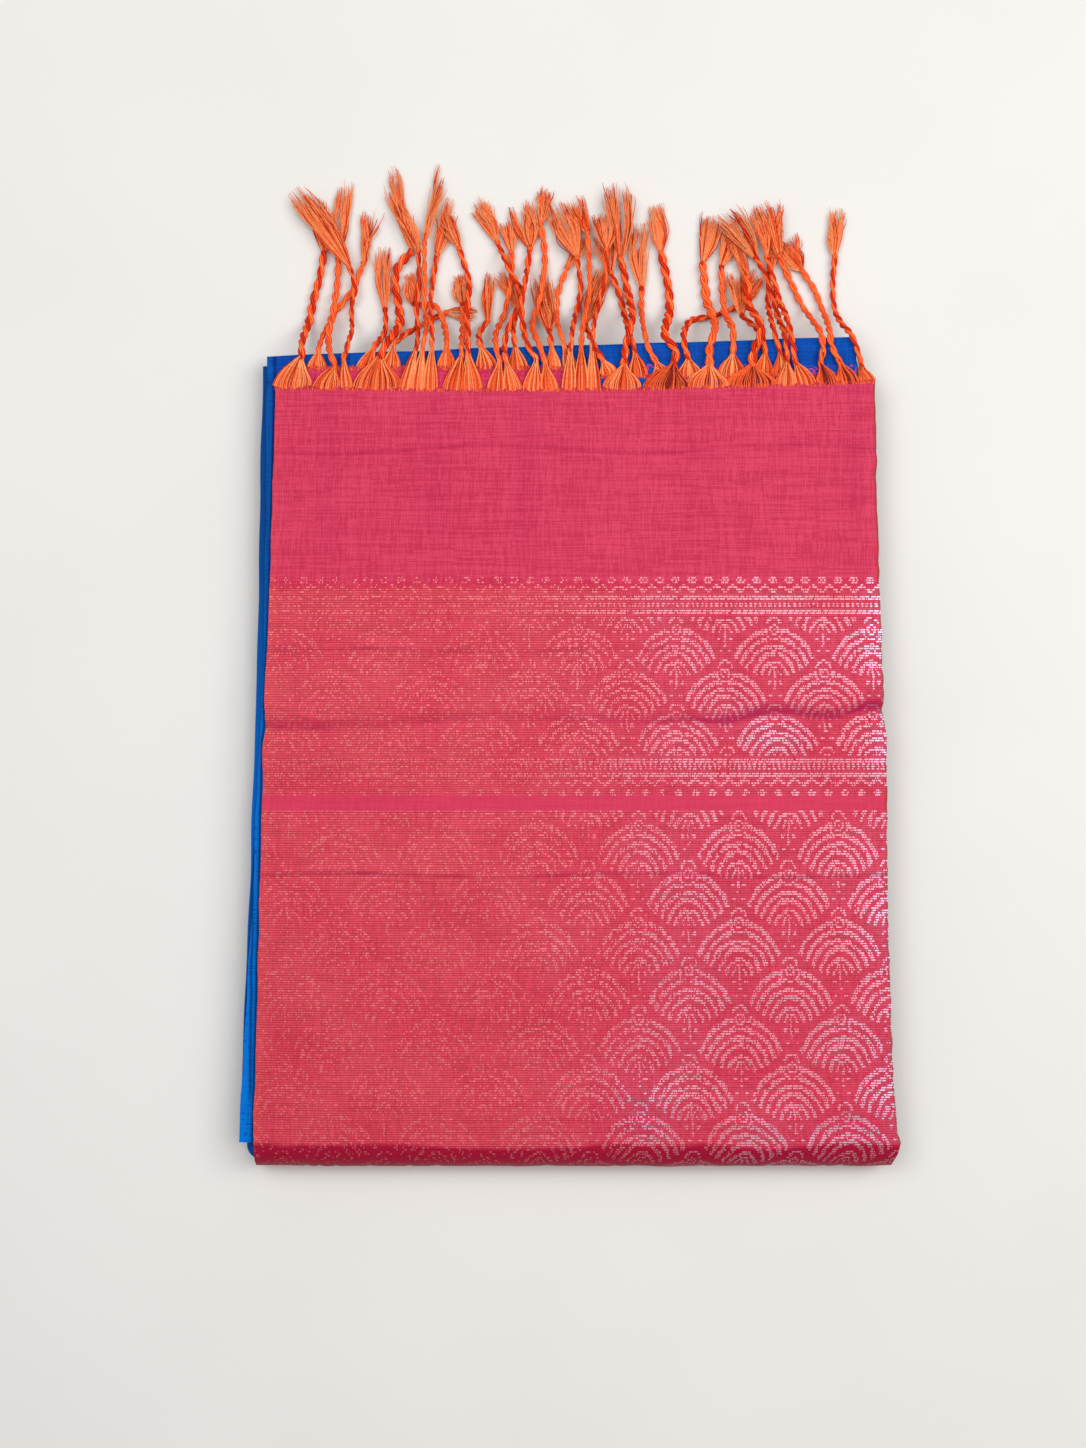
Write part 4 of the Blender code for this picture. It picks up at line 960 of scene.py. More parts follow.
class Finishes:
    """Every finish of the saree, made once."""

    def __init__(self) -> None:
        """Build the materials."""
        royal = (srgb(0, 80, 176), srgb(0, 62, 148), srgb(14, 52, 146))
        # The lower fold's blues: the royal ones painted lighter, as painted light
        bright = (srgb(0, 104, 196), srgb(0, 84, 172), srgb(0, 82, 168))
        self.brocade = RoseBrocade("rose silk with metal bands").make()
        self.rose = PlainSilk("plain rose silk", srgb(212, 60, 94), srgb(186, 36, 74), srgb(160, 24, 92),
                              roughness=0.42).make()
        self.blues = {
            Tone.STRIP: PlainSilk("bright blue silk", *bright, side=srgb(0, 100, 192)).make(),
            Tone.TURNED: PlainSilk("royal blue silk with a bright side", *royal,
                                   side=srgb(0, 112, 206)).make(),
            Tone.ROYAL: PlainSilk("royal blue silk", *royal).make(),
        }
        self.flecked = PlainSilk("blue silk with rose flecks", srgb(22, 80, 178), srgb(14, 58, 148),
                                 srgb(58, 44, 148), roughness=0.4, flecks=srgb(206, 60, 120)).make()
        self.plies = PlyEdges("stacked ply edges").make()
        self.floor = PaleFloor("pale floor").make()
        threads = {
            Dye.ORANGE: SpunThread("orange thread", srgb(255, 140, 72), srgb(236, 46, 6)),
            Dye.DEEP_ORANGE: SpunThread("deep orange thread", srgb(230, 62, 20), srgb(172, 14, 4)),
            Dye.MAROON: SpunThread("maroon thread", srgb(168, 48, 40), srgb(112, 22, 28), srgb(140, 36, 40)),
            Dye.PALE_ORANGE: SpunThread("pale orange thread", srgb(255, 200, 138), srgb(255, 118, 48)),
            Dye.ROSE: SpunThread("rose thread", srgb(222, 84, 96), srgb(184, 30, 60), srgb(204, 56, 84)),
        }
        self.threads = [threads[dye].make() for dye in Dye]


# Sheets


# Points of a surface row by row, their places across and along the cloth, and its painted marks
Surface = tuple[Array, Array, dict[str, Array]]


def lay_grid(name: str, places: Array, weave: Array, marks: dict[str, Array]) -> Piece:
    """Model a piece from a grid whose points are laid row by row.

    Args:
        name: The piece's name.
        places: Its points, rows by columns by three.
        weave: Across and along the cloth in metres at each point, rows by columns by two.
        marks: Other values at each point, by name.

    Returns:
        The open piece.
    """
    rows, columns = places.shape[0] - 1, places.shape[1] - 1
    pick_out()
    bpy.ops.mesh.primitive_grid_add(x_subdivisions=columns, y_subdivisions=rows, size=1)
    piece = bpy.context.object
    mesh = piece.data
    piece.name = mesh.name = name
    mesh.vertices.foreach_set("co", places.reshape(-1))
    layer = mesh.uv_layers[0]
    layer.name = "weave"
    corners = np.empty(len(mesh.loops), dtype=np.int32)
    mesh.loops.foreach_get("vertex_index", corners)
    layer.data.foreach_set("uv", weave.reshape(-1, 2)[corners].reshape(-1))
    for label, values in marks.items():
        mark = mesh.attributes.new(label, "FLOAT", "POINT")
        mark.data.foreach_set("value", values.reshape(-1))
    mesh.update()
    return piece


def turned_under(tuck: float, power: float = 1.0) -> list[tuple[float, float]]:
    """Rows of a body fold round its turned edge and back under itself.

    Args:
        tuck: How far the sheet is tucked back.
        power: Over 1 where the rows are closer together by the turn.

    Returns:
        How far each row lies inside the edge and under the sheet's face.
    """
    depth = FORM.body_fold_depth
    radius = 0.5 * depth
    turns = [math.pi * step / TURN_STEPS for step in range(1, TURN_STEPS + 1)]
    rows = [(radius - radius * math.sin(turn), radius - radius * math.cos(turn)) for turn in turns]
    tucks = range(1, TUCK_STEPS + 1)
    return rows + [(radius + tuck * (step / TUCK_STEPS) ** power, depth) for step in tucks]


@dataclass(kw_only=True)
class Sheet:
    """A sheet that shows: the solid that it stands for, its flat cut and its wall."""

    name: str
    node: str
    slot: str = "blue_silk"
    cut: tuple[float, float]
    wall: float = 0.8 * MM

    def surface(self) -> Surface:
        """The sheet's outer face."""
        raise NotImplementedError

    def build(self, finish: Material) -> Piece:
        """Model the sheet from its outer face and give it its wall, which goes inwards.

        Args:
            finish: Its material.

        Returns:
            The closed piece.
        """
        piece = lay_grid(self.name, *self.surface())
        thicken = piece.modifiers.new("Cloth wall", "SOLIDIFY")
        thicken.thickness = self.wall
        thicken.offset = -1
        thicken.use_even_offset = True
        bpy.ops.object.modifier_apply(modifier=thicken.name)
        smooth_faces(piece, 50)
        dress(piece, self.node, finish)
        return piece


@dataclass(kw_only=True)
class FrontPallu(Sheet):
    """The rose pallu: its top with the creases, the bottom roll and the flat underside."""

    name: str = "rose_pallu"
    node: str = "pallu_front"
    slot: str = "rose_silk"
    cut: tuple[float, float] = (0.29, 0.75)
    columns: int = 132
    plain_step: float = 2.3 * MM
    crease_step: float = 0.7 * MM
    roll_steps: int = 24
    under_steps: int = 22
    under_end_y: float = 136 * MM
    under_inset: float = 2 * MM
    crease_pull: float = 14 * MM

    def top_rows(self) -> Array:
        """Places along Y of the top's rows, closer together at sharp creases.

        Returns:
            The places.
        """
        rows = [FORM.fold_start_y]
        while rows[-1] < FORM.pallu_end_y - self.crease_step:
            y = rows[-1]
            close = any(abs(y - crease.y * MM) < 3.4 * crease.spread * MM
                        for crease in CREASES if crease.spread < SHARP_SPREAD)
            rows.append(y + (self.crease_step if close else self.plain_step))
        rows[-1] = FORM.pallu_end_y
        return np.array(rows)

    def edge_lines(self, y: Array) -> tuple[Array, Array]:
        """The pallu's left and right edges at y, with the small waves of a selvedge.

        Args:
            y: Places along Y.

        Returns:
            Left and right edges.
        """
        left, right = FORM.edges(PALLU_EDGES, y)
        left = left + 0.3 * MM * ripple(0, y, 11, 24 * MM) + 0.12 * MM * ripple(0, y, 12, 6 * MM)
        right = right + 0.35 * MM * ripple(0, y, 13, 20 * MM) + 0.15 * MM * ripple(0, y, 14, 6 * MM)
        return left, right

    def top_face(self, shares: Array) -> Array:
        """Points of the top, in rows that run along the creases near them.

        Args:
            shares: Shares of the width.

        Returns:
            The points, from the bottom fold to the woven end.
        """
        tops = self.top_rows()
        left, right = self.edge_lines(tops)
        x = left[:, None] + (right - left)[:, None] * shares
        flat_y = np.repeat(tops[:, None], len(shares), axis=1)
        y = flat_y.copy()
        for crease in CREASES:
            if crease.spread < SHARP_SPREAD:
                away = (flat_y - crease.y * MM) / self.crease_pull
                y += (FORM.crease_line(crease, x) - crease.y * MM) * bell(away)
        past_crease = (y - FORM.crease_line(HEAD_CREASE, x)) / (FORM.pallu_end_y - HEAD_CREASE.y * MM)
        y = y + (FORM.pallu_end(x) - FORM.pallu_end_y) * ease(past_crease)
        y[0] = FORM.fold_start_y
        soft = 0.16 * MM * ripple(x, y, 21, 46 * MM) + 0.05 * MM * ripple(x, y, 22, 12 * MM)
        relief = FORM.relief(x, y) + soft * ease((FORM.pallu_end_y + 4 * MM - y) / (20 * MM))
        return joined(x, y, FORM.heap_top(x, y) + FORM.pallu_top + relief)

    def bottom_roll(self, shares: Array, heights: Array) -> tuple[Array, Array]:
        """Points of the half round at the bottom fold, with its small gathers.

        Args:
            shares: Shares of the width.
            heights: Height of the top face where the roll starts.

        Returns:
            The points, from the underside up, and how far each is drawn into a gather.
        """
        turns = np.linspace(math.pi, 0, self.roll_steps + 1)[:-1]
        half = 0.5 * heights
        rows = []
        for turn in turns:
            y = FORM.fold_start_y - FORM.fold_radius * math.sin(turn)
            left, right = self.edge_lines(np.array([y]))
            x = left + (right - left) * shares
            if turn == math.pi:
                x = x + self.under_inset * (1 - 2 * shares)
            wavy = 0.25 * MM * math.sin(turn) * ripple(x, 0, 31, 30 * MM)
            rows.append(joined(x, y + wavy, half + half * math.cos(turn)))
        roll = np.array(rows)
        gathers = np.zeros(roll.shape[:2])
        for x_mm, lean, weight in ROLL_GATHERS:
            gathers += weight * bell((roll[..., 0] / MM - x_mm - lean * (roll[..., 1] / MM + 230)) / 1.3)
        gathers *= np.sin(turns)[:, None]
        roll[..., 1] += 0.5 * MM * gathers
        roll[..., 2] -= 0.4 * MM * gathers
        return roll, gathers

    def underside(self, shares: Array) -> Array:
        """Points of the flat underside, from its end to the bottom fold.

        Args:
            shares: Shares of the width.

        Returns:
            The points.
        """
        ends = np.linspace(self.under_end_y, FORM.fold_start_y, self.under_steps + 1)[:-1]
        left, right = FORM.edges(PALLU_EDGES, ends)
        x = (left + self.under_inset)[:, None] + (right - left - 2 * self.under_inset)[:, None] * shares
        return joined(x, ends[:, None], 0 * x)

    def painted_shade(self, x: Array, y: Array) -> Array:
        """How much painted shade the top gets along its creases and on its plain head.

        Args:
            x, y: Places along X and Y.

        Returns:
            About 0 to 1 at each place.
        """
        # Painted shade along the wavy fold and the pressed creases, and in bands on the plain head
        away = (y - FORM.crease_line(WAVY_FOLD, x) + 0.4 * MM) / MM
        strength = 0.4 + 1.5 * ease((x - 0.03) / 0.05) + 0.7 * ease((-0.1 - x) / 0.04)
        drawn = (bell(away) + 0.22 * bell((away - 1.8) / 2.4)) * strength
        drawn = drawn * (0.9 + 0.4 * ripple(x, y, 41, 14 * MM))
        for crease, weight in ((LOWER_CREASE, 0.5), (UPPER_CREASE, 0.3), (HEAD_CREASE, 0.3)):
            away = (y - FORM.crease_line(crease, x) + 0.5 * MM) / (0.8 * MM)
            drawn = drawn + weight * bell(away) * (0.6 + 0.8 * ripple(x, 0, 43, 22 * MM))
        for x_mm, half, weight in SHADES:
            drawn = drawn + weight * bell((x / MM - x_mm) / half) * ease((y - 0.03) / 0.04)
        return drawn

    def surface(self) -> Surface:
        """The pallu's outer face, from the underside's end round the fold to the woven end.

        Returns:
            The face.
        """
        shares = close_to_sides(self.columns + 1)
        top = self.top_face(shares)
        roll, gathers = self.bottom_roll(shares, top[0, :, 2])
        under = self.underside(shares)
        places = np.concatenate((under, roll, top))
        run = runs_along(places[:, self.columns // 2])
        start = len(under) + len(roll)
        along = np.repeat((run - run[start] + FORM.fold_start_y)[:, None], len(shares), axis=1)
        along[start:] = top[..., 1]
        x, y = top[..., 0], top[..., 1]
        painted_shade, painted_gleam = np.zeros((2, *along.shape))
        painted_shade[start:] = self.painted_shade(x, y)
        # Painted shade in the roll's gathers
        painted_shade[len(under):start] = 0.8 * gathers
        # Painted highlights on the metal weft, patch by patch
        for x_mm, y_mm, half_width, half_length, weight in PAINTED_GLEAMS:
            away = ((x / MM - x_mm) / half_width) ** 2 + ((y / MM - y_mm) / half_length) ** 2
            painted_gleam[start:] += weight * np.exp(-away)
        marks = {"painted_shade": np.clip(painted_shade, 0, 1), "painted_gleam": np.clip(painted_gleam, 0, 1)}
        return places, joined(shares * self.cut[0], along), marks


@dataclass(kw_only=True)
class FlatFold(Sheet):
    """A sheet that lies flat on the heap between four edges, as one ply or as two."""

    left: float
    right: float
    foot: float = -222 * MM
    head: float
    rise: float
    depth: float = 0.0
    columns: int = 56
    row_count: int = 100
    turn_steps: int = 8
    seed: int

    def outline(self, share: Array, along: Array) -> tuple[Array, Array]:
        """Places on the sheet as seen from above, its cut edges a little wavy.

        Args:
            share: Shares across the sheet.
            along: Shares up the sheet.

        Returns:
            Places along X and Y.
        """
        y = self.foot + (self.head - self.foot) * along
        x = self.left + (self.right - self.left) * share
        sway = 0.3 * MM * ripple(0, y, self.seed, 30 * MM)
        dip = 0.3 * MM * ripple(x, 0, self.seed + 1, 26 * MM) * ease((along - 0.9) / 0.1)
        return x + sway * (2 * share - 1), y + dip - 0.25 * MM * ease((along - 0.9) / 0.1)

    def surface(self) -> Surface:
        """The fold's outer face: its top, or its underside, left turn and top where it has two plies.

        Returns:
            The face.
        """
        along = 1 - (1 - np.linspace(0, 1, self.row_count + 1)) ** 1.25
        shares = np.linspace(0, 1, self.columns + 1)
        drops = np.zeros(len(shares))
        if self.depth > 0:
            radius = 0.5 * self.depth
            reach = radius / (self.right - self.left)
            turns = np.linspace(math.pi, 0, self.turn_steps + 1)
            shares = np.linspace(reach, 1, self.columns + 1)
            shares = np.concatenate((shares[:0:-1], reach - reach * np.sin(turns), shares[1:]))
            drops = np.concatenate((np.full(self.columns, self.depth), radius - radius * np.cos(turns),
                                    np.zeros(self.columns)))
        x, y = self.outline(*np.meshgrid(shares, along))
        z = FORM.heap_top(x, y) + self.rise - drops[None, :]
        places = joined(x, y, z + 0.05 * MM * ripple(x, y, self.seed + 2, 18 * MM))
        return places, joined(runs_along(places[self.row_count // 2]), y), {}


@dataclass(kw_only=True)
class BodyUpperFold(Sheet):
    """The blue body, turned over and tucked back at the tassel end."""

    name: str = "blue_body_upper"
    node: str = "body_upper_fold"
    cut: tuple[float, float] = (0.285, 0.44)
    wall: float = 0.7 * MM
    columns: int = 110
    row_count: int = 90
    side_columns: int = 27
    side_share: float = 0.042
    foot: float = -224 * MM
    tuck: float = 60 * MM
    groove_depth: float = 0.5 * MM

    def groove(self, x: Array, y: Spots) -> Array:
        """The groove pressed along the left side where the layers bulge apart.

        Args:
            x, y: Places along X and Y.

        Returns:
            How deep it is at each place, 0 to 1.
        """
        line = np.interp(y, (-207 * MM, -100 * MM), (-149.4 * MM, -147.9 * MM))
        away = (x - line - 0.25 * MM * ripple(0, y, 54, 30 * MM)) / (0.55 * MM)
        return bell(away) * ease((y + 0.208) / 0.01) * ease((-0.1 - y) / 0.01)

    def surface(self) -> Surface:
        """The fold's outer face, from its foot round the tassel end and back under itself.

        Returns:
            The face.
        """
        shares = np.union1d(close_to_sides(self.columns + 1),
                            np.linspace(0, self.side_share, self.side_columns))
        left, right = FORM.edges(UPPER_FOLD_EDGES, FORM.upper_fold_head)
        head_x = left + (right - left) * shares
        end = FORM.upper_fold_end(head_x) + 0.35 * MM * ripple(head_x, 0, 51, 48 * MM) - 0.3 * MM
        span = end - 0.5 * FORM.body_fold_depth - self.foot
        rows = [(self.foot + span * step / self.row_count, 0) for step in range(self.row_count + 1)]
        rows += [(end - inset, drop) for inset, drop in turned_under(self.tuck)]
        lines, painted_groove_shades = [], []
        for y, drop in rows:
            left, right = FORM.edges(UPPER_FOLD_EDGES, y)
            sway = 0.4 * MM * ripple(0, y, 52, 34 * MM)
            x = left + (right - left) * shares + sway * (1 - 2 * shares)
            groove = self.groove(x, y)
            z = FORM.heap_top(x, y) + FORM.upper_fold_top - drop + 0.05 * MM * ripple(x, y, 53, 20 * MM)
            lines.append(joined(x, y, z - self.groove_depth * groove))
            # Painted shadow: a dark line along the groove and beside the pallu's edge
            painted_crevice_shadow = bell(((x - FORM.edges(PALLU_EDGES, y)[0]) / MM + 1.1) / 0.7)
            painted_groove_shades.append(np.clip(0.8 * groove + 0.8 * painted_crevice_shadow, 0, 1))
        places = np.array(lines)
        along = runs_along(places[:, self.columns // 2]) + self.foot
        return places, joined(places[..., 0], along[:, None]), {"groove": np.array(painted_groove_shades)}


@dataclass(kw_only=True)
class BodyLowerFold(Sheet):
    """The blue layer below, turned over and tucked back along the left side."""

    name: str = "blue_body_lower"
    node: str = "body_lower_fold"
    cut: tuple[float, float] = (0.345, 0.3555)
    wall: float = 0.7 * MM
    top_steps: int = 60
    length_steps: int = 120
    foot: float = -215 * MM
    head: float = 140.5 * MM
    tuck: float = 50 * MM

    def surface(self) -> Surface:
        """The fold's outer face, from its right side round the left one and back under itself.

        Returns:
            The face.
        """
        y = np.linspace(self.foot, self.head, self.length_steps + 1)
        left, right = FORM.edges(LOWER_FOLD_EDGES, y)
        left = left + 0.4 * MM * ripple(0, y, 61, 40 * MM) + 0.3 * MM
        span = left + 0.5 * FORM.body_fold_depth - right
        rows = [(right + span * (step / self.top_steps) ** 0.7, 0) for step in range(self.top_steps + 1)]
        rows += [(left + inset, drop) for inset, drop in turned_under(self.tuck, 1.4)]
        top = FORM.lower_fold_top
        places = np.array([joined(x, y, FORM.heap_top(x, y) + top - drop) for x, drop in rows])
        run = runs_along(places[:, self.length_steps // 2])
        # Painted shadow beside the upper fold's edge
        past_edge = (places[..., 0] - FORM.edges(UPPER_FOLD_EDGES, y)[0]) / MM
        return places, joined(run[:, None], places[..., 1]), {"groove": 0.8 * bell((past_edge + 0.5) / 0.7)}


@dataclass(frozen=True)
class Bundle:
    """One bundle of hidden plies, as shares of the heap's height and insets of its edges."""

    foot: float
    head: float
    left: float
    right: float
    end: float


BUNDLES = tuple(Bundle(*row) for row in (
    (0, 0.17, 6, 2.5, 6), (0.17, 0.38, 4, 4.5, 2.5), (0.38, 0.55, 5.5, 1.5, 4), (0.55, 0.80, 3, 3.5, 1.5),
    (0.80, 1, 4.6, 2, 3.2),
))


@dataclass(frozen=True)
class Level:
    """One ring round the block: its bundle, inset, share of the height and number of its ply."""

    bundle: Bundle
    inset: float
    height: float
    ply: float


@dataclass
class HiddenPlies:
    """The hidden plies: one rounded block whose edges show ply on ply."""

    ply_count: int = 24
    groove: float = 0.55 * MM
    bundle_groove: float = 1.2 * MM
    corner: float = 7 * MM
    side_points: int = 64
    corner_points: int = 7
    right_x: float = 146 * MM
    narrowing: float = 7 * MM
    head_left: float = 143 * MM
    head_right: float = 151 * MM
    weld: float = 0.02 * MM
    cap_shares: tuple[float, ...] = (0.97, 0.93, 0.86, 0.75, 0.6, 0.42, 0.22, 0)

    def fold_room(self, height: float) -> float:
        """How far the plies may reach into the bottom fold.

        Args:
            height: Share of the heap's height.

        Returns:
            The reach past the fold's start.
        """
        top = float(FORM.heap_top(FORM.heap_middle_x + FORM.heap_half_width, FORM.fold_start_y))
        middle = 0.5 * (top + FORM.pallu_top)
        clear = FORM.pallu_wall + 2 * FORM.lay_gap
        away = (FORM.heap_base + height * (top - FORM.heap_base) - middle) / (middle - clear)
        return (FORM.fold_radius - clear) * math.sqrt(max(0, 1 - away * away))

    def sides(self, level: Level, y: Spots) -> tuple[Array, Array]:
        """Left and right side of a level at y."""
        along = (y - FORM.fold_start_y) / (self.head_right - FORM.fold_start_y)
        return (FORM.edges(LOWER_FOLD_EDGES, y)[0] + level.bundle.left * MM + level.inset,
                self.right_x - self.narrowing * along - level.bundle.right * MM - level.inset)

    def outline(self, level: Level) -> Array:
        """Plan of one level, anticlockwise, with straight sides and round corners.

        Args:
            level: The level.

        Returns:
            Points along X and Y.
        """
        corner = self.corner
        foot = FORM.fold_start_y - self.fold_room(level.height) + level.inset
        head = self.head_left - level.bundle.end * MM - level.inset
        side_y = np.linspace(foot + corner, head - corner, self.side_points)
        left, right = self.sides(level, side_y)
        foot_left, foot_right = self.sides(level, foot)
        head_left, head_right = self.sides(level, head)
        slope = (self.head_right - self.head_left) / (head_right - head_left)
        head_x = np.linspace(head_right - corner, head_left + corner, self.side_points)[1:-1]
        foot_x = np.linspace(foot_left + corner, foot_right - corner, self.side_points)[1:-1]
        sides = ((right, side_y), (head_x, head + slope * (head_x - head_left)), (left[::-1], side_y[::-1]),
                 (foot_x, foot))
        middles = ((head_right - corner, head + slope * (head_right - head_left) - corner),
                   (head_left + corner, head - corner), (foot_left + corner, foot + corner),
                   (foot_right - corner, foot + corner))
        points = []
        for quarter, (side, (x, y)) in enumerate(zip(sides, middles)):
            turn = 0.5 * math.pi * (quarter + np.linspace(0, 1, self.corner_points + 2)[1:-1])
            points.append(joined(*side))
            points.append(joined(x + corner * np.cos(turn), y + corner * np.sin(turn)))
        return np.concatenate(points)

    def levels(self) -> list[Level]:
        """Every level of the edge from the floor up, four to a ply where a bundle starts.

        Returns:
            The levels.
        """
        picks = np.random.default_rng(71)
        found = []
        for ply in range(self.ply_count):
            low, high = ply / self.ply_count, (ply + 1) / self.ply_count
            bundle = next(one for one in BUNDLES if 0.5 * (low + high) <= one.head)
            own = picks.uniform(0, 0.9) * MM
            starts, ends = (abs(share - edge) < 0.5 / self.ply_count
                            for share, edge in ((low, bundle.foot), (high, bundle.head)))
            if starts:
                found.append(Level(bundle, self.bundle_groove, low, ply + (0.02 if ply else 0)))
            found.append(Level(bundle, own, low + 0.25 * (high - low), ply + 0.25))
            found.append(Level(bundle, own, high - 0.25 * (high - low), ply + 0.75))
            found.append(Level(bundle, self.bundle_groove if ends else own + self.groove, high, ply + 0.98))
        return found

    def ring(self, level: Level) -> Array:
        """Points of one level, a little wavy.

        Args:
            level: The level.

        Returns:
            The points.
        """
        plan = self.outline(level)
        sway = 0.35 * MM * ripple(plan[:, 0], plan[:, 1], 80 + int(level.ply), 60 * MM)
        inwards = plan.mean(axis=0) - plan
        inwards = inwards / np.linalg.norm(inwards, axis=1)[:, None]
        plan = plan + inwards * (sway[:, None] + 0.35 * MM)
        roof = FORM.heap_top(plan[:, 0], plan[:, 1])
        return np.column_stack((plan, FORM.heap_base + level.height * (roof - FORM.heap_base)))

    def cap(self, ring: Array, on_top: bool) -> list[Array]:
        """Rings that close the block, drawn in towards the middle.

        Args:
            ring: The edge's ring.
            on_top: Whether they lie on the heap's upper face.

        Returns:
            The rings, from the edge in.
        """
        middle = ring.mean(axis=0)
        rings = [middle + (ring - middle) * share for share in self.cap_shares]
        for inner in rings:
            inner[:, 2] = FORM.heap_top(inner[:, 0], inner[:, 1]) if on_top else FORM.heap_base
        return rings

    def build(self, finish: Material) -> Piece:
        """Build the block from its rings and close it.

        Args:
            finish: Its material.

        Returns:
            The piece.
        """
        levels = self.levels()
        rings = [self.ring(level) for level in levels]
        low, high = self.cap(rings[0], False), self.cap(rings[-1], True)
        rings = low[::-1] + rings + high
        numbers = [0] * len(low) + [level.ply for level in levels] + [self.ply_count - 0.5] * len(high)
        places = np.array([np.vstack((ring, ring[:1])) for ring in rings])
        climb = np.cumsum([0] + [0.5 * MM] * (len(places) - 1))
        weave = joined(runs_along(places[len(places) // 2]), climb[:, None])
        marks = {"ply": np.repeat(numbers, places.shape[1])}
        piece = lay_grid("hidden_plies", places, weave, marks)
        bpy.ops.object.mode_set(mode="EDIT")
        bpy.ops.mesh.select_all(action="SELECT")
        bpy.ops.mesh.remove_doubles(threshold=self.weld)
        bpy.ops.mesh.normals_make_consistent(inside=False)
        bpy.ops.object.mode_set(mode="OBJECT")
        smooth_faces(piece, 60)
        dress(piece, "hidden_layers", finish)
        return piece


# Tassels


@dataclass(frozen=True)
class Strand:
    """A tassel: the warp it gathers, its tip, its brush and the way its cord lies."""

    root_x: float
    root_width: float
    tip: tuple[float, float]
    brush_width: float
    route: Rows
    dark: bool = False

    @property
    def stout(self) -> float:
        """How thick its cord is: the more warp it gathers, the thicker."""
        return float(np.interp(self.root_width, (4, 19), (0.8, 1.3)))


# Root, its width, tip, brush width and route
FRONT_STRANDS = tuple(Strand(*row) for row in (
    (-129.3, 15, (-120, 221), 5,
     ((-125, 144), (-125, 153), (-123, 164), (-121, 174), (-118, 185), (-116, 197))),
    (-112.6, 11, (-106, 228), 6.5,
     ((-109, 139), (-112, 147), (-113, 155), (-111, 170), (-110, 179), (-109, 195))),
    (-103.7, 4, (-129, 223), 9,
     ((-105, 142), (-103, 151), (-102, 157), (-103, 170), (-101, 179), (-104, 189))),
    (-89.3, 19, (-85, 235.4), 5.5, ((-88, 144), (-84, 153), (-80, 162), (-82, 180), (-81, 189), (-74, 197))),
    (-76.2, 5, (-80, 218), 4, ((-71, 149), (-71, 157), (-72, 170), (-71, 179), (-71, 197))),
    (-70.2, 5, (-58, 235.4), 4.5, ((-68, 149), (-67, 157), (-68, 170), (-68, 184), (-68, 200))),
    (-64.6, 5, (-55, 220), 5, ((-64, 149), (-64, 157), (-65, 170), (-64, 185), (-62, 196))),
    (-53.8, 8, (-53, 185), 5, ((-50, 144), (-50, 153), (-50, 163), (-50, 172))),
    (-45, 8, (-59, 213), 4.5, ((-47, 146), (-47, 155), (-48, 165), (-47, 181), (-52, 199))),
    (-33.3, 7, (-30, 211), 5, ((-32, 141), (-34, 149), (-34, 157), (-30, 168), (-27, 184), (-27, 197))),
    (-25.6, 6.6, (-42, 222), 6.5, ((-29, 141), (-30, 149), (-28, 158), (-22, 175), (-27, 185), (-34, 202))),
    (-17, 7, (-22, 220), 7.5, ((-15, 142), (-19, 149), (-21, 157), (-22, 167), (-20, 183), (-18, 199))),
    (-9.1, 7, (-12, 227), 5.5, ((-11, 140), (-13, 147), (-17, 160), (-13, 175), (-11, 193), (-13, 211))),
    (0.2, 4.8, (-6, 218), 10, ((1, 147), (2, 158), (4, 168), (6, 179), (4, 194))),
    (5.9, 4.8, (3, 222), 4.5, ((6, 149), (7, 160), (10, 175), (10, 192), (9, 206))),
    (11.6, 4.8, (17, 215), 7.5, ((11, 149), (12, 160), (15, 173), (18, 186), (18, 197))),
    (24.9, 15, (24, 227), 7.5, ((26, 140), (27, 150), (30, 163), (28, 179), (25, 194))),
    (45.9, 19, (41, 218), 5.5, ((49, 140), (50, 147), (45, 154), (48, 167), (48, 178), (44, 197)), True),
    (65, 18, (68, 214), 8, ((66, 140), (66, 148), (69, 160), (66, 173), (64, 192))),
    (85.5, 20.6, (79, 203), 3.5, ((86, 140), (87, 147), (90, 156), (85, 169), (85, 184)), True),
    (101.8, 8, (75, 214), 6, ((102, 141), (101, 155), (98, 169), (94, 184), (89, 194))),
    (110.7, 7.8, (88, 217), 6, ((106, 141), (104, 152), (101, 166), (97, 182), (94, 194))),
    (120.9, 8, (95, 219), 5, ((118, 140), (119, 151), (114, 165), (108, 178), (100, 195)), True),
    (130.7, 8, (104, 202), 7.5, ((127, 141), (123, 150), (122, 163), (118, 177), (111, 188)), True),
    (139.8, 6, (129, 216), 5.5, ((137, 141), (134, 151), (128, 163), (126, 178), (127, 195))),
))
SECOND_LEFT_STRANDS = tuple(Strand(*row) for row in (
    (-117.7, 7, (-96, 215), 4, ((-117, 147), (-116, 155), (-112, 166), (-103, 178), (-97, 192))),
    (-94.8, 7, (-89, 197), 4, ((-91, 148), (-87, 157), (-87, 170))),
    (-83.2, 7, (-44, 167), 4, ((-82, 149), (-77, 156), (-66, 164), (-57, 168))),
    (-57.1, 7, (-76, 186), 5, ((-57, 149), (-58, 158), (-63, 170), (-74, 172))),
    (-38, 8, (-38, 186), 4, ((-41, 149), (-42, 156), (-38, 164))),
    (-23.6, 7, (-31, 187), 5.5, ((-25, 149), (-26, 158), (-24, 170))),
    (-6.6, 5, (-12, 184), 6, ((-8, 149), (-9, 157))),
    (1, 5, (8, 203), 4, ((-2, 149), (-5, 160), (-5, 176), (0, 190))),
))
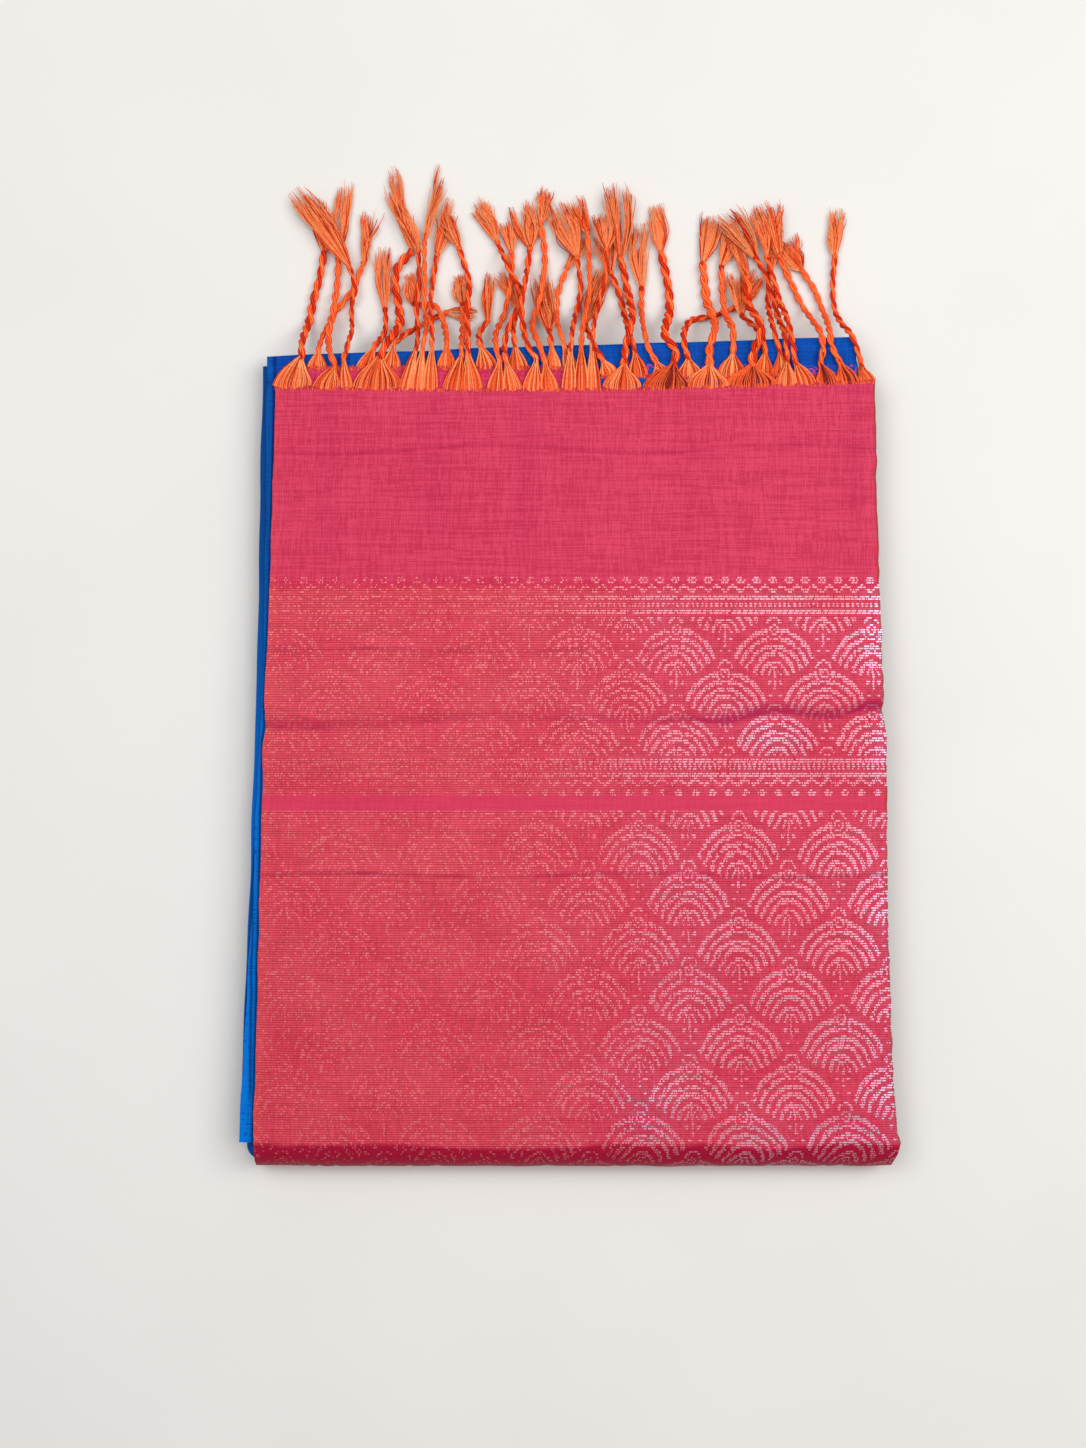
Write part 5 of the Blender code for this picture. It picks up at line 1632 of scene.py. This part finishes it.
SECOND_RIGHT_STRANDS = tuple(Strand(*row) for row in (
    (19.4, 7, (17, 190), 6, ((16, 142), (11, 151), (8, 162))),
    (32.6, 7, (18, 204), 6.5, ((31, 146), (28, 158), (25, 175), (20, 187))),
    (43.6, 6, (33, 208), 6, ((41, 141), (37, 149), (35, 162), (35, 180))),
    (56.6, 9, (91, 186), 4.5, ((56, 143), (54, 152), (58, 163), (72, 167), (84, 172))),
    (76.2, 11, (80, 210), 6, ((77, 146), (77, 156), (74, 168), (73, 190))),
    (91, 7, (79, 188), 6, ((92, 146), (90, 155), (82, 166))),
    (99.6, 6, (97, 212), 5, ((99, 146), (96, 157), (95, 172), (96, 188))),
))

# Columns of a table of stations, the places that a strand passes through
X, Y, Z, HALF_WIDTH, STAND, SLOPE = range(6)
# Steps in millimetres to the places close to a point that are looked at too
NEAR = ((0, 0), (1, 0), (-1, 0), (0, 1), (0, -1))


@dataclass
class StrandBed:
    """Lays strands on the cloth, the floor and each other, as the solids lie."""

    cord_half_width: float = 1.2 * MM
    knot_half: float = 1.4 * MM
    knot_stand: float = 1.9 * MM
    cord_stand: float = 1.4 * MM
    fan_stand: float = 0.5 * MM
    fan_end_stand: float = 0.95 * MM
    brush_half_height: float = 1 * MM
    brush_lift: float = 0.3 * MM
    fan_shares: tuple[float, ...] = (0, 0.3, 0.6, 0.85)
    fan_power: float = 1.5
    # Shares of a brush's length, width and height
    brush_shape: Rows = ((0.22, 0.6, 1), (0.55, 0.95, 1), (0.85, 1, 0.8), (1, 0.8, 0.45))
    ring_spacing: float = 5 * MM
    strand_gap: float = 0.45 * MM
    strand_slope: float = 1.0
    fill_steps: int = 4
    second_right_x: float = 14.6 * MM
    inner_border_end_y: float = 140.7 * MM
    border_end_y: float = 133.6 * MM
    laid: Array = field(default_factory=lambda: np.zeros((0, 6)))

    def cloth_at(self, x: float, y: float) -> float:
        """Height of the cloth or the floor under the tassels.

        Args:
            x: Place along X.
            y: Place along Y.

        Returns:
            The height, clear of the cloth.
        """
        left, right = FORM.edges(UPPER_FOLD_EDGES, y)
        if y > FORM.upper_fold_end(x) + FORM.lay_gap or x < left or x > right:
            return FORM.floor_clear
        rise = FORM.upper_fold_top
        at_right = x >= self.second_right_x
        if at_right and y < self.inner_border_end_y:
            rise = FORM.inner_border_top
        if y < (self.border_end_y if at_right else FORM.second_end_y):
            rise = FORM.second_top
        return float(FORM.heap_top(x, y)) + rise + FORM.lay_gap

    def cloth_below(self, x: float, y: float) -> float:
        """Highest cloth close to a point."""
        return max(self.cloth_at(x + step_x * MM, y + step_y * MM) for step_x, step_y in NEAR)

    def smooth_route(self, points: list[Vector]) -> list[Vector]:
        """Points on a smooth curve through the given ones.

        Args:
            points: The route's points.

        Returns:
            Points about a ring's spacing apart.
        """
        curve = []
        for index in range(len(points) - 1):
            before, start = points[max(index - 1, 0)], points[index]
            end, after = points[index + 1], points[min(index + 2, len(points) - 1)]
            run = (end - start).length
            steps = max(1, round(run / self.ring_spacing))
            leave, arrive = (end - before).normalized() * run, (after - start).normalized() * run
            curve += [between(start, end, leave, arrive, step / steps) for step in range(steps)]
        return curve + [points[-1]]

    def plan(self, strand: Strand, root: Vector) -> Array:
        """Stations of a strand as seen from above: its fan, its cord and knot, and its brush.

        Args:
            strand: The tassel.
            root: Where it leaves the cloth.

        Returns:
            The table of stations.
        """
        knots = [Vector((x * MM, y * MM, 0)) for x, y in strand.route]
        tip = Vector((strand.tip[0] * MM, strand.tip[1] * MM, 0))
        half_root = 0.5 * strand.root_width * MM
        rows = []
        for share in self.fan_shares:
            flare = (half_root - self.cord_half_width) * (1 - share) ** self.fan_power
            stand = self.fan_stand + (self.fan_end_stand - self.fan_stand) * share
            rows.append((*root.lerp(knots[0], share), self.cord_half_width + flare, stand, 0))
        points = self.smooth_route(knots)
        for point in points[:-1]:
            rows.append((*point, self.cord_half_width, self.cord_stand, 0))
        rows.append((*points[-1], self.knot_half, self.knot_stand, 0))
        for share, width_share, height_share in self.brush_shape:
            half_width = 0.5 * strand.brush_width * MM * width_share
            stand = self.brush_half_height * height_share + self.brush_lift
            rows.append((*knots[-1].lerp(tip, share), half_width, stand, 0))
        return np.array(rows)

    def fill_in(self, stations: Array) -> Array:
        """Put points between the stations, so that whole runs are cleared.

        Args:
            stations: Table of stations.

        Returns:
            The longer table, with the slope of each run.
        """
        filled = []
        for before, after in zip(stations, stations[1:]):
            run = math.hypot(after[X] - before[X], after[Y] - before[Y])
            for step in range(self.fill_steps):
                point = before + (after - before) * step / self.fill_steps
                point[SLOPE] = (after[Z] - before[Z]) / max(run, MM)
                filled.append(point)
        return np.array(filled + [stations[-1]])

    def support(self, point: Array) -> float:
        """The least height at which a station lies clear of all that is under it.

        Args:
            point: One station.

        Returns:
            The height of its middle.
        """
        lowest = self.cloth_below(point[X], point[Y]) + point[STAND]
        if len(self.laid):
            other = self.laid
            apart = np.hypot(point[X] - other[:, X], point[Y] - other[:, Y])
            flat = sum(np.maximum(0, one[..., HALF_WIDTH] - one[..., STAND]) for one in (point, other))
            room = point[STAND] + other[:, STAND] + self.strand_gap
            beyond = np.maximum(0, apart - flat) / room
            lift = np.sqrt(np.clip(1 - beyond * beyond, 0, 1) * (1 + other[:, SLOPE] ** 2))
            heights = np.where(beyond < 1, other[:, Z] + room * lift, 0)
            lowest = max(lowest, float(heights.max()))
        return lowest

    def lay(self, strand: Strand, root: Vector) -> Array:
        """Lay one strand and remember where it lies.

        Args:
            strand: The tassel.
            root: Where it leaves the cloth.

        Returns:
            Its table of stations.
        """
        stations = self.plan(strand, root)
        needs = [self.support(point) for point in self.fill_in(stations)]
        heights = [max(needs[max(0, (index - 1) * self.fill_steps + 1):(index + 1) * self.fill_steps])
                   for index in range(len(stations))]
        heights[0] = root.z
        runs = runs_along(stations[:, :Z])
        settled = stations.copy()
        for index, run in enumerate(runs):
            settled[index, Z] = max(need - self.strand_slope * abs(run - place)
                                    for need, place in zip(heights, runs))
        settled[0, Z] = root.z
        self.laid = np.vstack((self.laid, self.fill_in(settled)))
        return settled


@dataclass(frozen=True)
class Stretch:
    """Part of a strand as a smooth line with even steps, its level directions and its floor."""

    line: Array
    places: Array
    across: Array
    up: Array
    floor: Array

    @classmethod
    def through(cls, stations: Array, step: float) -> "Stretch":
        """Run a smooth line through stations.

        Args:
            stations: Table of stations.
            step: Distance between the line's points.

        Returns:
            The stretch.
        """
        points = stations[:, :3]
        runs = runs_along(points)
        places = np.linspace(0, runs[-1], max(4, round(runs[-1] / step)) + 1)
        slopes = np.gradient(points, runs, axis=0)
        index = np.clip(np.searchsorted(runs, places, side="right") - 1, 0, len(runs) - 2)
        span = (runs[index + 1] - runs[index])[:, None]
        line = between(points[index], points[index + 1], slopes[index] * span, slopes[index + 1] * span,
                       (places - runs[index])[:, None] / span)
        along = np.gradient(line, axis=0)
        along /= np.linalg.norm(along, axis=1)[:, None]
        across = np.cross(along, (0, 0, 1))
        across /= np.linalg.norm(across, axis=1)[:, None]
        floor = np.interp(places, runs, stations[:, Z] - stations[:, STAND] + 0.25 * MM)
        return cls(line, places, across, np.cross(across, along), floor)


@dataclass
class ThreadCurves:
    """Collects threads as splines of one curve and turns them into one mesh piece."""

    name: str
    finishes: list[Material]
    sides: int
    curve: bpy.types.Curve = field(init=False)

    def __post_init__(self) -> None:
        """Start the curve."""
        self.curve = bpy.data.curves.new(self.name, "CURVE")
        self.curve.dimensions = "3D"
        self.curve.bevel_depth = MM
        self.curve.bevel_resolution = self.sides
        self.curve.use_fill_caps = True
        for finish in self.finishes:
            self.curve.materials.append(finish)

    def add(self, points: Array, radii: Array, dye: Dye) -> None:
        """Add one thread.

        Args:
            points: Its points in metres.
            radii: Its radius at each point in metres.
            dye: Its dye.
        """
        spline = self.curve.splines.new("POLY")
        spline.points.add(len(points) - 1)
        spline.points.foreach_set("co", np.column_stack((points, np.ones(len(points)))).reshape(-1))
        spline.points.foreach_set("radius", radii / MM)
        spline.use_smooth = True
        spline.material_index = dye.value

    def to_mesh(self) -> Piece:
        """Make the threads one mesh piece.

        Returns:
            The piece.
        """
        piece = bpy.data.objects.new(self.name, self.curve)
        bpy.context.scene.collection.objects.link(piece)
        pick_out(piece)
        bpy.ops.object.convert(target="MESH")
        piece = bpy.context.object
        piece.name = piece.data.name = self.name
        smooth_faces(piece, 70)
        return piece


@dataclass
class TasselRow:
    """A row of tassels: fans of warp, twisted cords, knots and cut brushes."""

    bed: StrandBed
    finishes: list[Material]
    name: str
    strands: tuple[Strand, ...]
    edge: Callable[[Spots], Spots]
    rise: float
    left: float
    right: float
    seed: int
    strip_depth: float = 1.8 * MM
    strip_height: float = 1.1 * MM
    warp_pitch: float = 0.38 * MM
    warp_radius: float = 0.3 * MM
    ply_radius: float = 0.92 * MM
    ply_swing: float = 0.78 * MM
    ply_turn: float = 11.5 * MM
    hair_radius: float = 0.2 * MM
    hairs_per_mm: float = 6.5
    lock_count: int = 7

    def __post_init__(self) -> None:
        """Start the row's chance and its curves."""
        self.picks = np.random.default_rng(self.seed)
        self.fans = ThreadCurves(f"{self.name}_fans", self.finishes, 1)
        self.cords = ThreadCurves(f"{self.name}_cords", self.finishes, 2)
        self.brushes = ThreadCurves(f"{self.name}_brushes", self.finishes, 0)

    def level(self, x: float, y: float) -> float:
        """Height of the row's strip."""
        return float(FORM.heap_top(x, y)) + self.rise

    def pick_dye(self, strand: Strand, offset: float, lean: float) -> Dye:
        """Choose a thread's dye.

        Args:
            strand: The tassel.
            offset: The thread's place in it, from -1 to 1.
            lean: Above 0 for a thread on a lock's crest, which gets paler dyes more often as a painted
                highlight.

        Returns:
            The dye.
        """
        luck = self.picks.random() + lean
        if strand.dark and abs(offset - 0.25) < 0.6 and luck < 0.6:
            return Dye.MAROON
        if luck > 0.66 and not strand.dark:
            return Dye.PALE_ORANGE
        return Dye.DEEP_ORANGE if luck < 0.22 else Dye.ORANGE

    def build(self) -> list[Piece]:
        """Lay the row's tassels, keep its strip clear of later rows, and make its pieces.

        Returns:
            The pieces.
        """
        self.root_threads()
        for strand in self.strands:
            x = strand.root_x * MM
            y = float(self.edge(x)) + FORM.lay_gap + self.strip_depth
            stations = self.bed.lay(strand, Vector((x, y, self.level(x, y))))
            waist, tie = len(self.bed.fan_shares), len(stations) - len(self.bed.brush_shape)
            self.fan(strand, stations[:waist + 2], waist)
            self.cord(strand, stations[waist - 1:tie])
            self.brush(strand, stations[tie - 1:])
        self.remember_strip()
        pieces = [curves.to_mesh() for curves in (self.fans, self.cords, self.brushes)]
        for piece in pieces:
            dress(piece, f"tassels_{self.name}")
        return pieces

    def remember_strip(self) -> None:
        """Keep the row's root strip clear of the rows laid after it."""
        rows, half = [], 0.5 * self.strip_height
        for x in np.linspace(self.left, self.right, round((self.right - self.left) / self.strip_depth) + 1):
            y = float(self.edge(x))
            middle_y = y + FORM.lay_gap + 0.5 * self.strip_depth
            rows.append((x, middle_y, self.level(x, y), self.strip_depth, half, 0))
        self.bed.laid = np.vstack((self.bed.laid, np.array(rows)))

    def root_threads(self) -> None:
        """Lay the short ends of warp that hold the tassels together at the cloth's end."""
        for x in np.arange(self.left, self.right, 0.8 * self.warp_pitch):
            y = float(self.edge(x)) - 0.2 * MM
            reach = self.strip_depth + self.picks.uniform(0.2, 0.9) * MM
            sway = self.picks.uniform(-0.4, 0.4) * MM
            line = np.array([(x + sway * t, y + reach * t,
                              self.level(x, y) + self.picks.uniform(-0.22, 0.22) * MM)
                             for t in np.linspace(0, 1, 4)])
            dye = Dye.ROSE if self.picks.random() < 0.7 else Dye.ORANGE
            self.fans.add(line, np.array((1, 1, 0.85, 0.5)) * self.warp_radius, dye)

    def fan(self, strand: Strand, stations: Array, waist: int) -> None:
        """Lay the fan of warp threads that gathers into the cord.

        Args:
            strand: The tassel.
            stations: The fan's stations and the cord's first ones.
            waist: Which of them is the cord's first.
        """
        picks = self.picks
        run = Stretch.through(stations, 1.4 * MM)
        share = np.clip(run.places / runs_along(stations[:, :3])[waist], 0, 1)
        square = ease(share * 1.6)[:, None]
        across = run.across * square + np.array((1, 0, 0)) * (1 - square)
        half_root = (0.56 * strand.root_width + 0.5) * MM
        waist_half = 1.15 * self.ply_radius * strand.stout
        half_width = waist_half + (half_root - waist_half) * (1 - ease(share**1.1))
        half_height = 0.35 * MM + 0.6 * MM * strand.stout * share
        threads = max(12, round(strand.root_width * MM / self.warp_pitch) + 8)
        start = picks.uniform(0, TURN)
        for offset in np.linspace(-1, 1, threads):
            spread = float(np.clip(offset + picks.uniform(-0.04, 0.04), -1, 1))
            lock = math.sin(0.45 * threads * offset + start)
            lift = (0.5 * lock + picks.uniform(-0.5, 0.5)) * math.sqrt(max(0, 1 - 0.6 * spread * spread))
            swirl = picks.uniform(-0.5, 0.5) * share * share
            side = half_width * (spread * np.cos(swirl))
            rise = half_height * lift + 0.35 * MM * spread * np.sin(swirl * 2)
            points = run.line + across * side[:, None] + run.up * rise[:, None]
            points[0, 1] -= self.strip_depth * (0.9 - 0.9 * spread * spread)
            slack = picks.uniform(0, 0.22) * MM * np.sin(math.pi * share)
            points[:, 2] = np.maximum(points[:, 2] + slack, run.floor)
            radii = self.warp_radius * (1 - 0.25 * share) * picks.uniform(0.85, 1.1)
            # Dyes are partly random; threads on raised locks get paler ones more often, a painted highlight
            self.fans.add(points, radii, self.pick_dye(strand, spread, 0.2 * lock))

    def cord(self, strand: Strand, stations: Array) -> None:
        """Twist two plies round each other from the fan's waist to the knot, and tie it.

        Args:
            strand: The tassel.
            stations: The cord's stations.
        """
        picks = self.picks
        run = Stretch.through(stations, 0.85 * MM)
        places = run.places
        start = picks.uniform(0, TURN)
        turn = self.ply_turn * picks.uniform(0.88, 1.15)
        uneven = 1 + 0.18 * np.sin(places / (7 * MM) + start)
        swing = self.ply_swing * strand.stout * uneven * ease(places / (2.5 * MM) + 0.35)
        ends = (0, 3 * MM, places[-1] - 4 * MM, places[-1])
        dyes = (Dye.ORANGE, Dye.DEEP_ORANGE if picks.random() < 0.65 else Dye.ORANGE)
        for ply, dye in enumerate(dyes):
            angle = start + TURN * places / turn + math.pi * ply
            radii = self.ply_radius * strand.stout * (1 + 0.1 * np.sin(places / (2.3 * MM) + 2 * ply))
            radii = radii * np.interp(places, ends, (0.75, 1, 1, 0.8))
            points = run.line + run.across * (swing * np.cos(angle))[:, None]
            points = points + run.up * (0.6 * swing * np.sin(angle))[:, None]
            points[:, 2] = np.maximum(points[:, 2], run.floor + 0.7 * radii)
            self.cords.add(points, radii, dye)
        self.knot(run)

    def knot(self, run: Stretch) -> None:
        """Wind the small knot round the cord's end.

        Args:
            run: The cord's stretch.
        """
        turns = np.linspace(0, 2.3, 26)
        angle = (TURN * turns + self.picks.uniform(0, TURN))[:, None]
        along = (run.line[-1] - run.line[-2]) / np.linalg.norm(run.line[-1] - run.line[-2])
        ring = 0.95 * MM + 0.1 * MM * np.sin(3 * angle)
        shift = (turns - 1.15)[:, None] * 0.75 * MM
        points = (run.line[-2] + along * shift + run.across[-1] * (ring * np.cos(angle))
                  + run.up[-1] * (ring * np.sin(angle)))
        radii = 0.5 * MM * np.sin(np.linspace(0.35, math.pi - 0.35, len(turns))) ** 0.4
        self.cords.add(points, radii, Dye.ORANGE if self.picks.random() < 0.6 else Dye.DEEP_ORANGE)

    def brush(self, strand: Strand, stations: Array) -> None:
        """Spread the cut threads below the knot, in a few locks and some strays.

        Args:
            strand: The tassel.
            stations: The knot's station and the brush's.
        """
        picks = self.picks
        run = Stretch.through(stations, 3.2 * MM)
        share = run.places / run.places[-1]
        waist = 0.8 * MM
        opened = np.interp(share, (0, 0.15, 0.45, 0.8, 1), (0, 0.35, 0.85, 1, 0.95))
        spread = waist + (0.6 * strand.brush_width * MM - waist) * opened
        radii = self.hair_radius * np.interp(share, (0, 0.8, 1), (1.25, 1, 0.45))
        locks = [(picks.uniform(-1.1, 1.1), picks.uniform(0.7, 1.05), picks.normal(0, 1.1) * MM,
                  picks.uniform(-0.6, 0.6)) for _ in range(self.lock_count)]
        for hair in range(round(26 + self.hairs_per_mm * strand.brush_width)):
            middle, lock_reach, lock_bow, lock_lift = locks[hair % len(locks)]
            stray = 2.4 if picks.random() < 0.1 else 1
            offset = float(np.clip(middle + stray * picks.normal(0, 0.2), -1.6, 1.6))
            lift = float(np.clip(lock_lift + picks.uniform(-0.5, 0.5), -1, 1))
            reach = float(np.clip(lock_reach + picks.normal(0, 0.09), 0.55, 1.1))
            bow = lock_bow + stray * picks.normal(0, 0.35) * MM
            side = spread * offset + bow * np.sin(1.6 * math.pi * share) * share
            side = side + stray * picks.normal(0, 0.6) * MM * share**2
            points = run.line[0] + (run.line - run.line[0]) * (0.15 + 0.85 * reach)
            points = points + run.across * side[:, None]
            points = points + run.up * (0.65 * MM * lift * (1 - 0.35 * share))[:, None]
            points[:, 2] = np.maximum(points[:, 2], run.floor)
            self.brushes.add(points, radii,
                             Dye.PALE_ORANGE if picks.random() < 0.45 else self.pick_dye(strand, 1, -0.08))


@dataclass
class Tassels:
    """All three rows of tassels, laid from the lowest row up."""

    bed: StrandBed = field(default_factory=StrandBed)

    def build(self, finishes: list[Material]) -> list[Piece]:
        """Build the rows.

        Args:
            finishes: The thread materials, in the order of the dyes.

        Returns:
            Their pieces.
        """
        bed = self.bed
        second_rise = FORM.second_top - 0.5 * TasselRow.strip_height
        front_rise = FORM.pallu_top - 0.5 * FORM.pallu_wall
        left, right = FORM.edges(PALLU_EDGES, FORM.pallu_end_y)
        rows = (
            TasselRow(bed, finishes, "second_left", SECOND_LEFT_STRANDS, lambda x: FORM.second_end_y,
                      second_rise, -124 * MM, 6.6 * MM, 101),
            TasselRow(bed, finishes, "second_right", SECOND_RIGHT_STRANDS, lambda x: bed.border_end_y,
                      second_rise, 15.2 * MM, 116 * MM, 102),
            TasselRow(bed, finishes, "front", FRONT_STRANDS, FORM.pallu_end, front_rise,
                      float(left) - 0.2 * MM, float(right), 103),
        )
        return [piece for row in rows for piece in row.build()]


# Studio


@dataclass
class Studio:
    """The camera straight above, the soft lights and the pale floor."""

    camera_place: tuple[float, float, float] = (-0.0119, -0.02805, 0.9595)
    lens: float = 50.0
    sensor: float = 36.0
    sky: Colour = (0.93, 0.95, 1)
    sky_strength: float = 0.4
    floor_half: float = 3.0
    floor_drop: float = 0.2 * MM

    def set_camera(self) -> None:
        """Put the camera straight above the cloth, at the photograph's angle."""
        data = bpy.data.cameras.new("overhead camera")
        data.lens = self.lens
        data.sensor_fit = "VERTICAL"
        data.sensor_width = data.sensor_height = self.sensor
        data.clip_start = 0.01
        data.clip_end = 20
        camera = bpy.data.objects.new("overhead camera", data)
        camera.location = self.camera_place
        bpy.context.scene.collection.objects.link(camera)
        bpy.context.scene.camera = camera

    def add_light(self, name: str, place: Sequence[float], aim: Sequence[float], size: tuple[float, float],
                  power: float, colour: Colour) -> None:
        """Hang one soft light.

        Args:
            name: Its name.
            place: Where it hangs.
            aim: The point it faces.
            size: Its two sides.
            power: Its power in watts.
            colour: Its colour.
        """
        data = bpy.data.lights.new(name, "AREA")
        data.shape = "RECTANGLE"
        data.size, data.size_y = size
        data.energy = power
        data.color = colour
        light = bpy.data.objects.new(name, data)
        light.location = place
        light.rotation_mode = "QUATERNION"
        light.rotation_quaternion = (Vector(aim) - Vector(place)).to_track_quat("-Z", "Y")
        bpy.context.scene.collection.objects.link(light)

    def light_up(self) -> None:
        """Set the sky and hang the lights."""
        world = bpy.data.worlds.new("studio sky")
        world.use_nodes = True
        bpy.context.scene.world = world
        background = world.node_tree.nodes["Background"]
        background.inputs["Color"].default_value = (*self.sky, 1)
        background.inputs["Strength"].default_value = self.sky_strength
        bpy.context.scene.view_settings.view_transform = "Standard"
        self.add_light("window light", (0.7, 0.2, 1.3), (0.05, -0.03, 0), (0.7, 1.3), 15,
                       (1, 0.985, 0.96))
        self.add_light("overhead fill", (-0.6, 0.45, 1.6), (0, 0, 0), (1, 1), 13.5,
                       (0.97, 0.98, 1))

    def lay_floor(self, finish: Material) -> None:
        """Lay the floor just under the cloth.

        Args:
            finish: Its material.
        """
        pick_out()
        bpy.ops.mesh.primitive_grid_add(x_subdivisions=8, y_subdivisions=8, size=2 * self.floor_half)
        floor = bpy.context.object
        floor.name = "floor"
        floor.data.materials.append(finish)
        for point in floor.data.vertices:
            point.co.z = -self.floor_drop


def write_sizes() -> None:
    """Do nothing; no sizes are kept."""
    LOG.info("sizes written")


def main() -> None:
    """Set the studio, then build the saree from the heap up."""
    logging.basicConfig(level=logging.INFO, format="%(message)s")
    studio = Studio()
    studio.set_camera()
    studio.light_up()
    finishes = Finishes()

    plies = HiddenPlies().build(finishes.plies)
    lower = BodyLowerFold()
    lower_piece = lower.build(finishes.blues[Tone.STRIP])
    upper = BodyUpperFold()
    upper_piece = upper.build(finishes.blues[Tone.TURNED])
    inner = FlatFold(name="flecked_border_fold", node="border_inner_fold", cut=(0.1105, 0.3627),
                     left=24.5 * MM, right=135 * MM, head=140.7 * MM, rise=FORM.inner_border_top, seed=201)
    inner_piece = inner.build(finishes.flecked)
    border = FlatFold(name="blue_border_fold", node="border_fold", cut=(0.121, 0.3556),
                      left=15 * MM, right=136 * MM, head=133.6 * MM, rise=FORM.second_top, seed=211)
    border_piece = border.build(finishes.blues[Tone.ROYAL])
    second = FlatFold(name="rose_second_fold", node="pallu_second", slot="rose_silk",
                      cut=(0.3012, 0.3593), left=-136 * MM, right=14.6 * MM, head=FORM.second_end_y,
                      rise=FORM.second_top, depth=FORM.second_depth, seed=221)
    second_piece = second.build(finishes.rose)
    front = FrontPallu()
    front_piece = front.build(finishes.brocade)
    Tassels().build(finishes.threads)
    studio.lay_floor(finishes.floor)

    write_sizes()


if __name__ == "__main__":
    main()
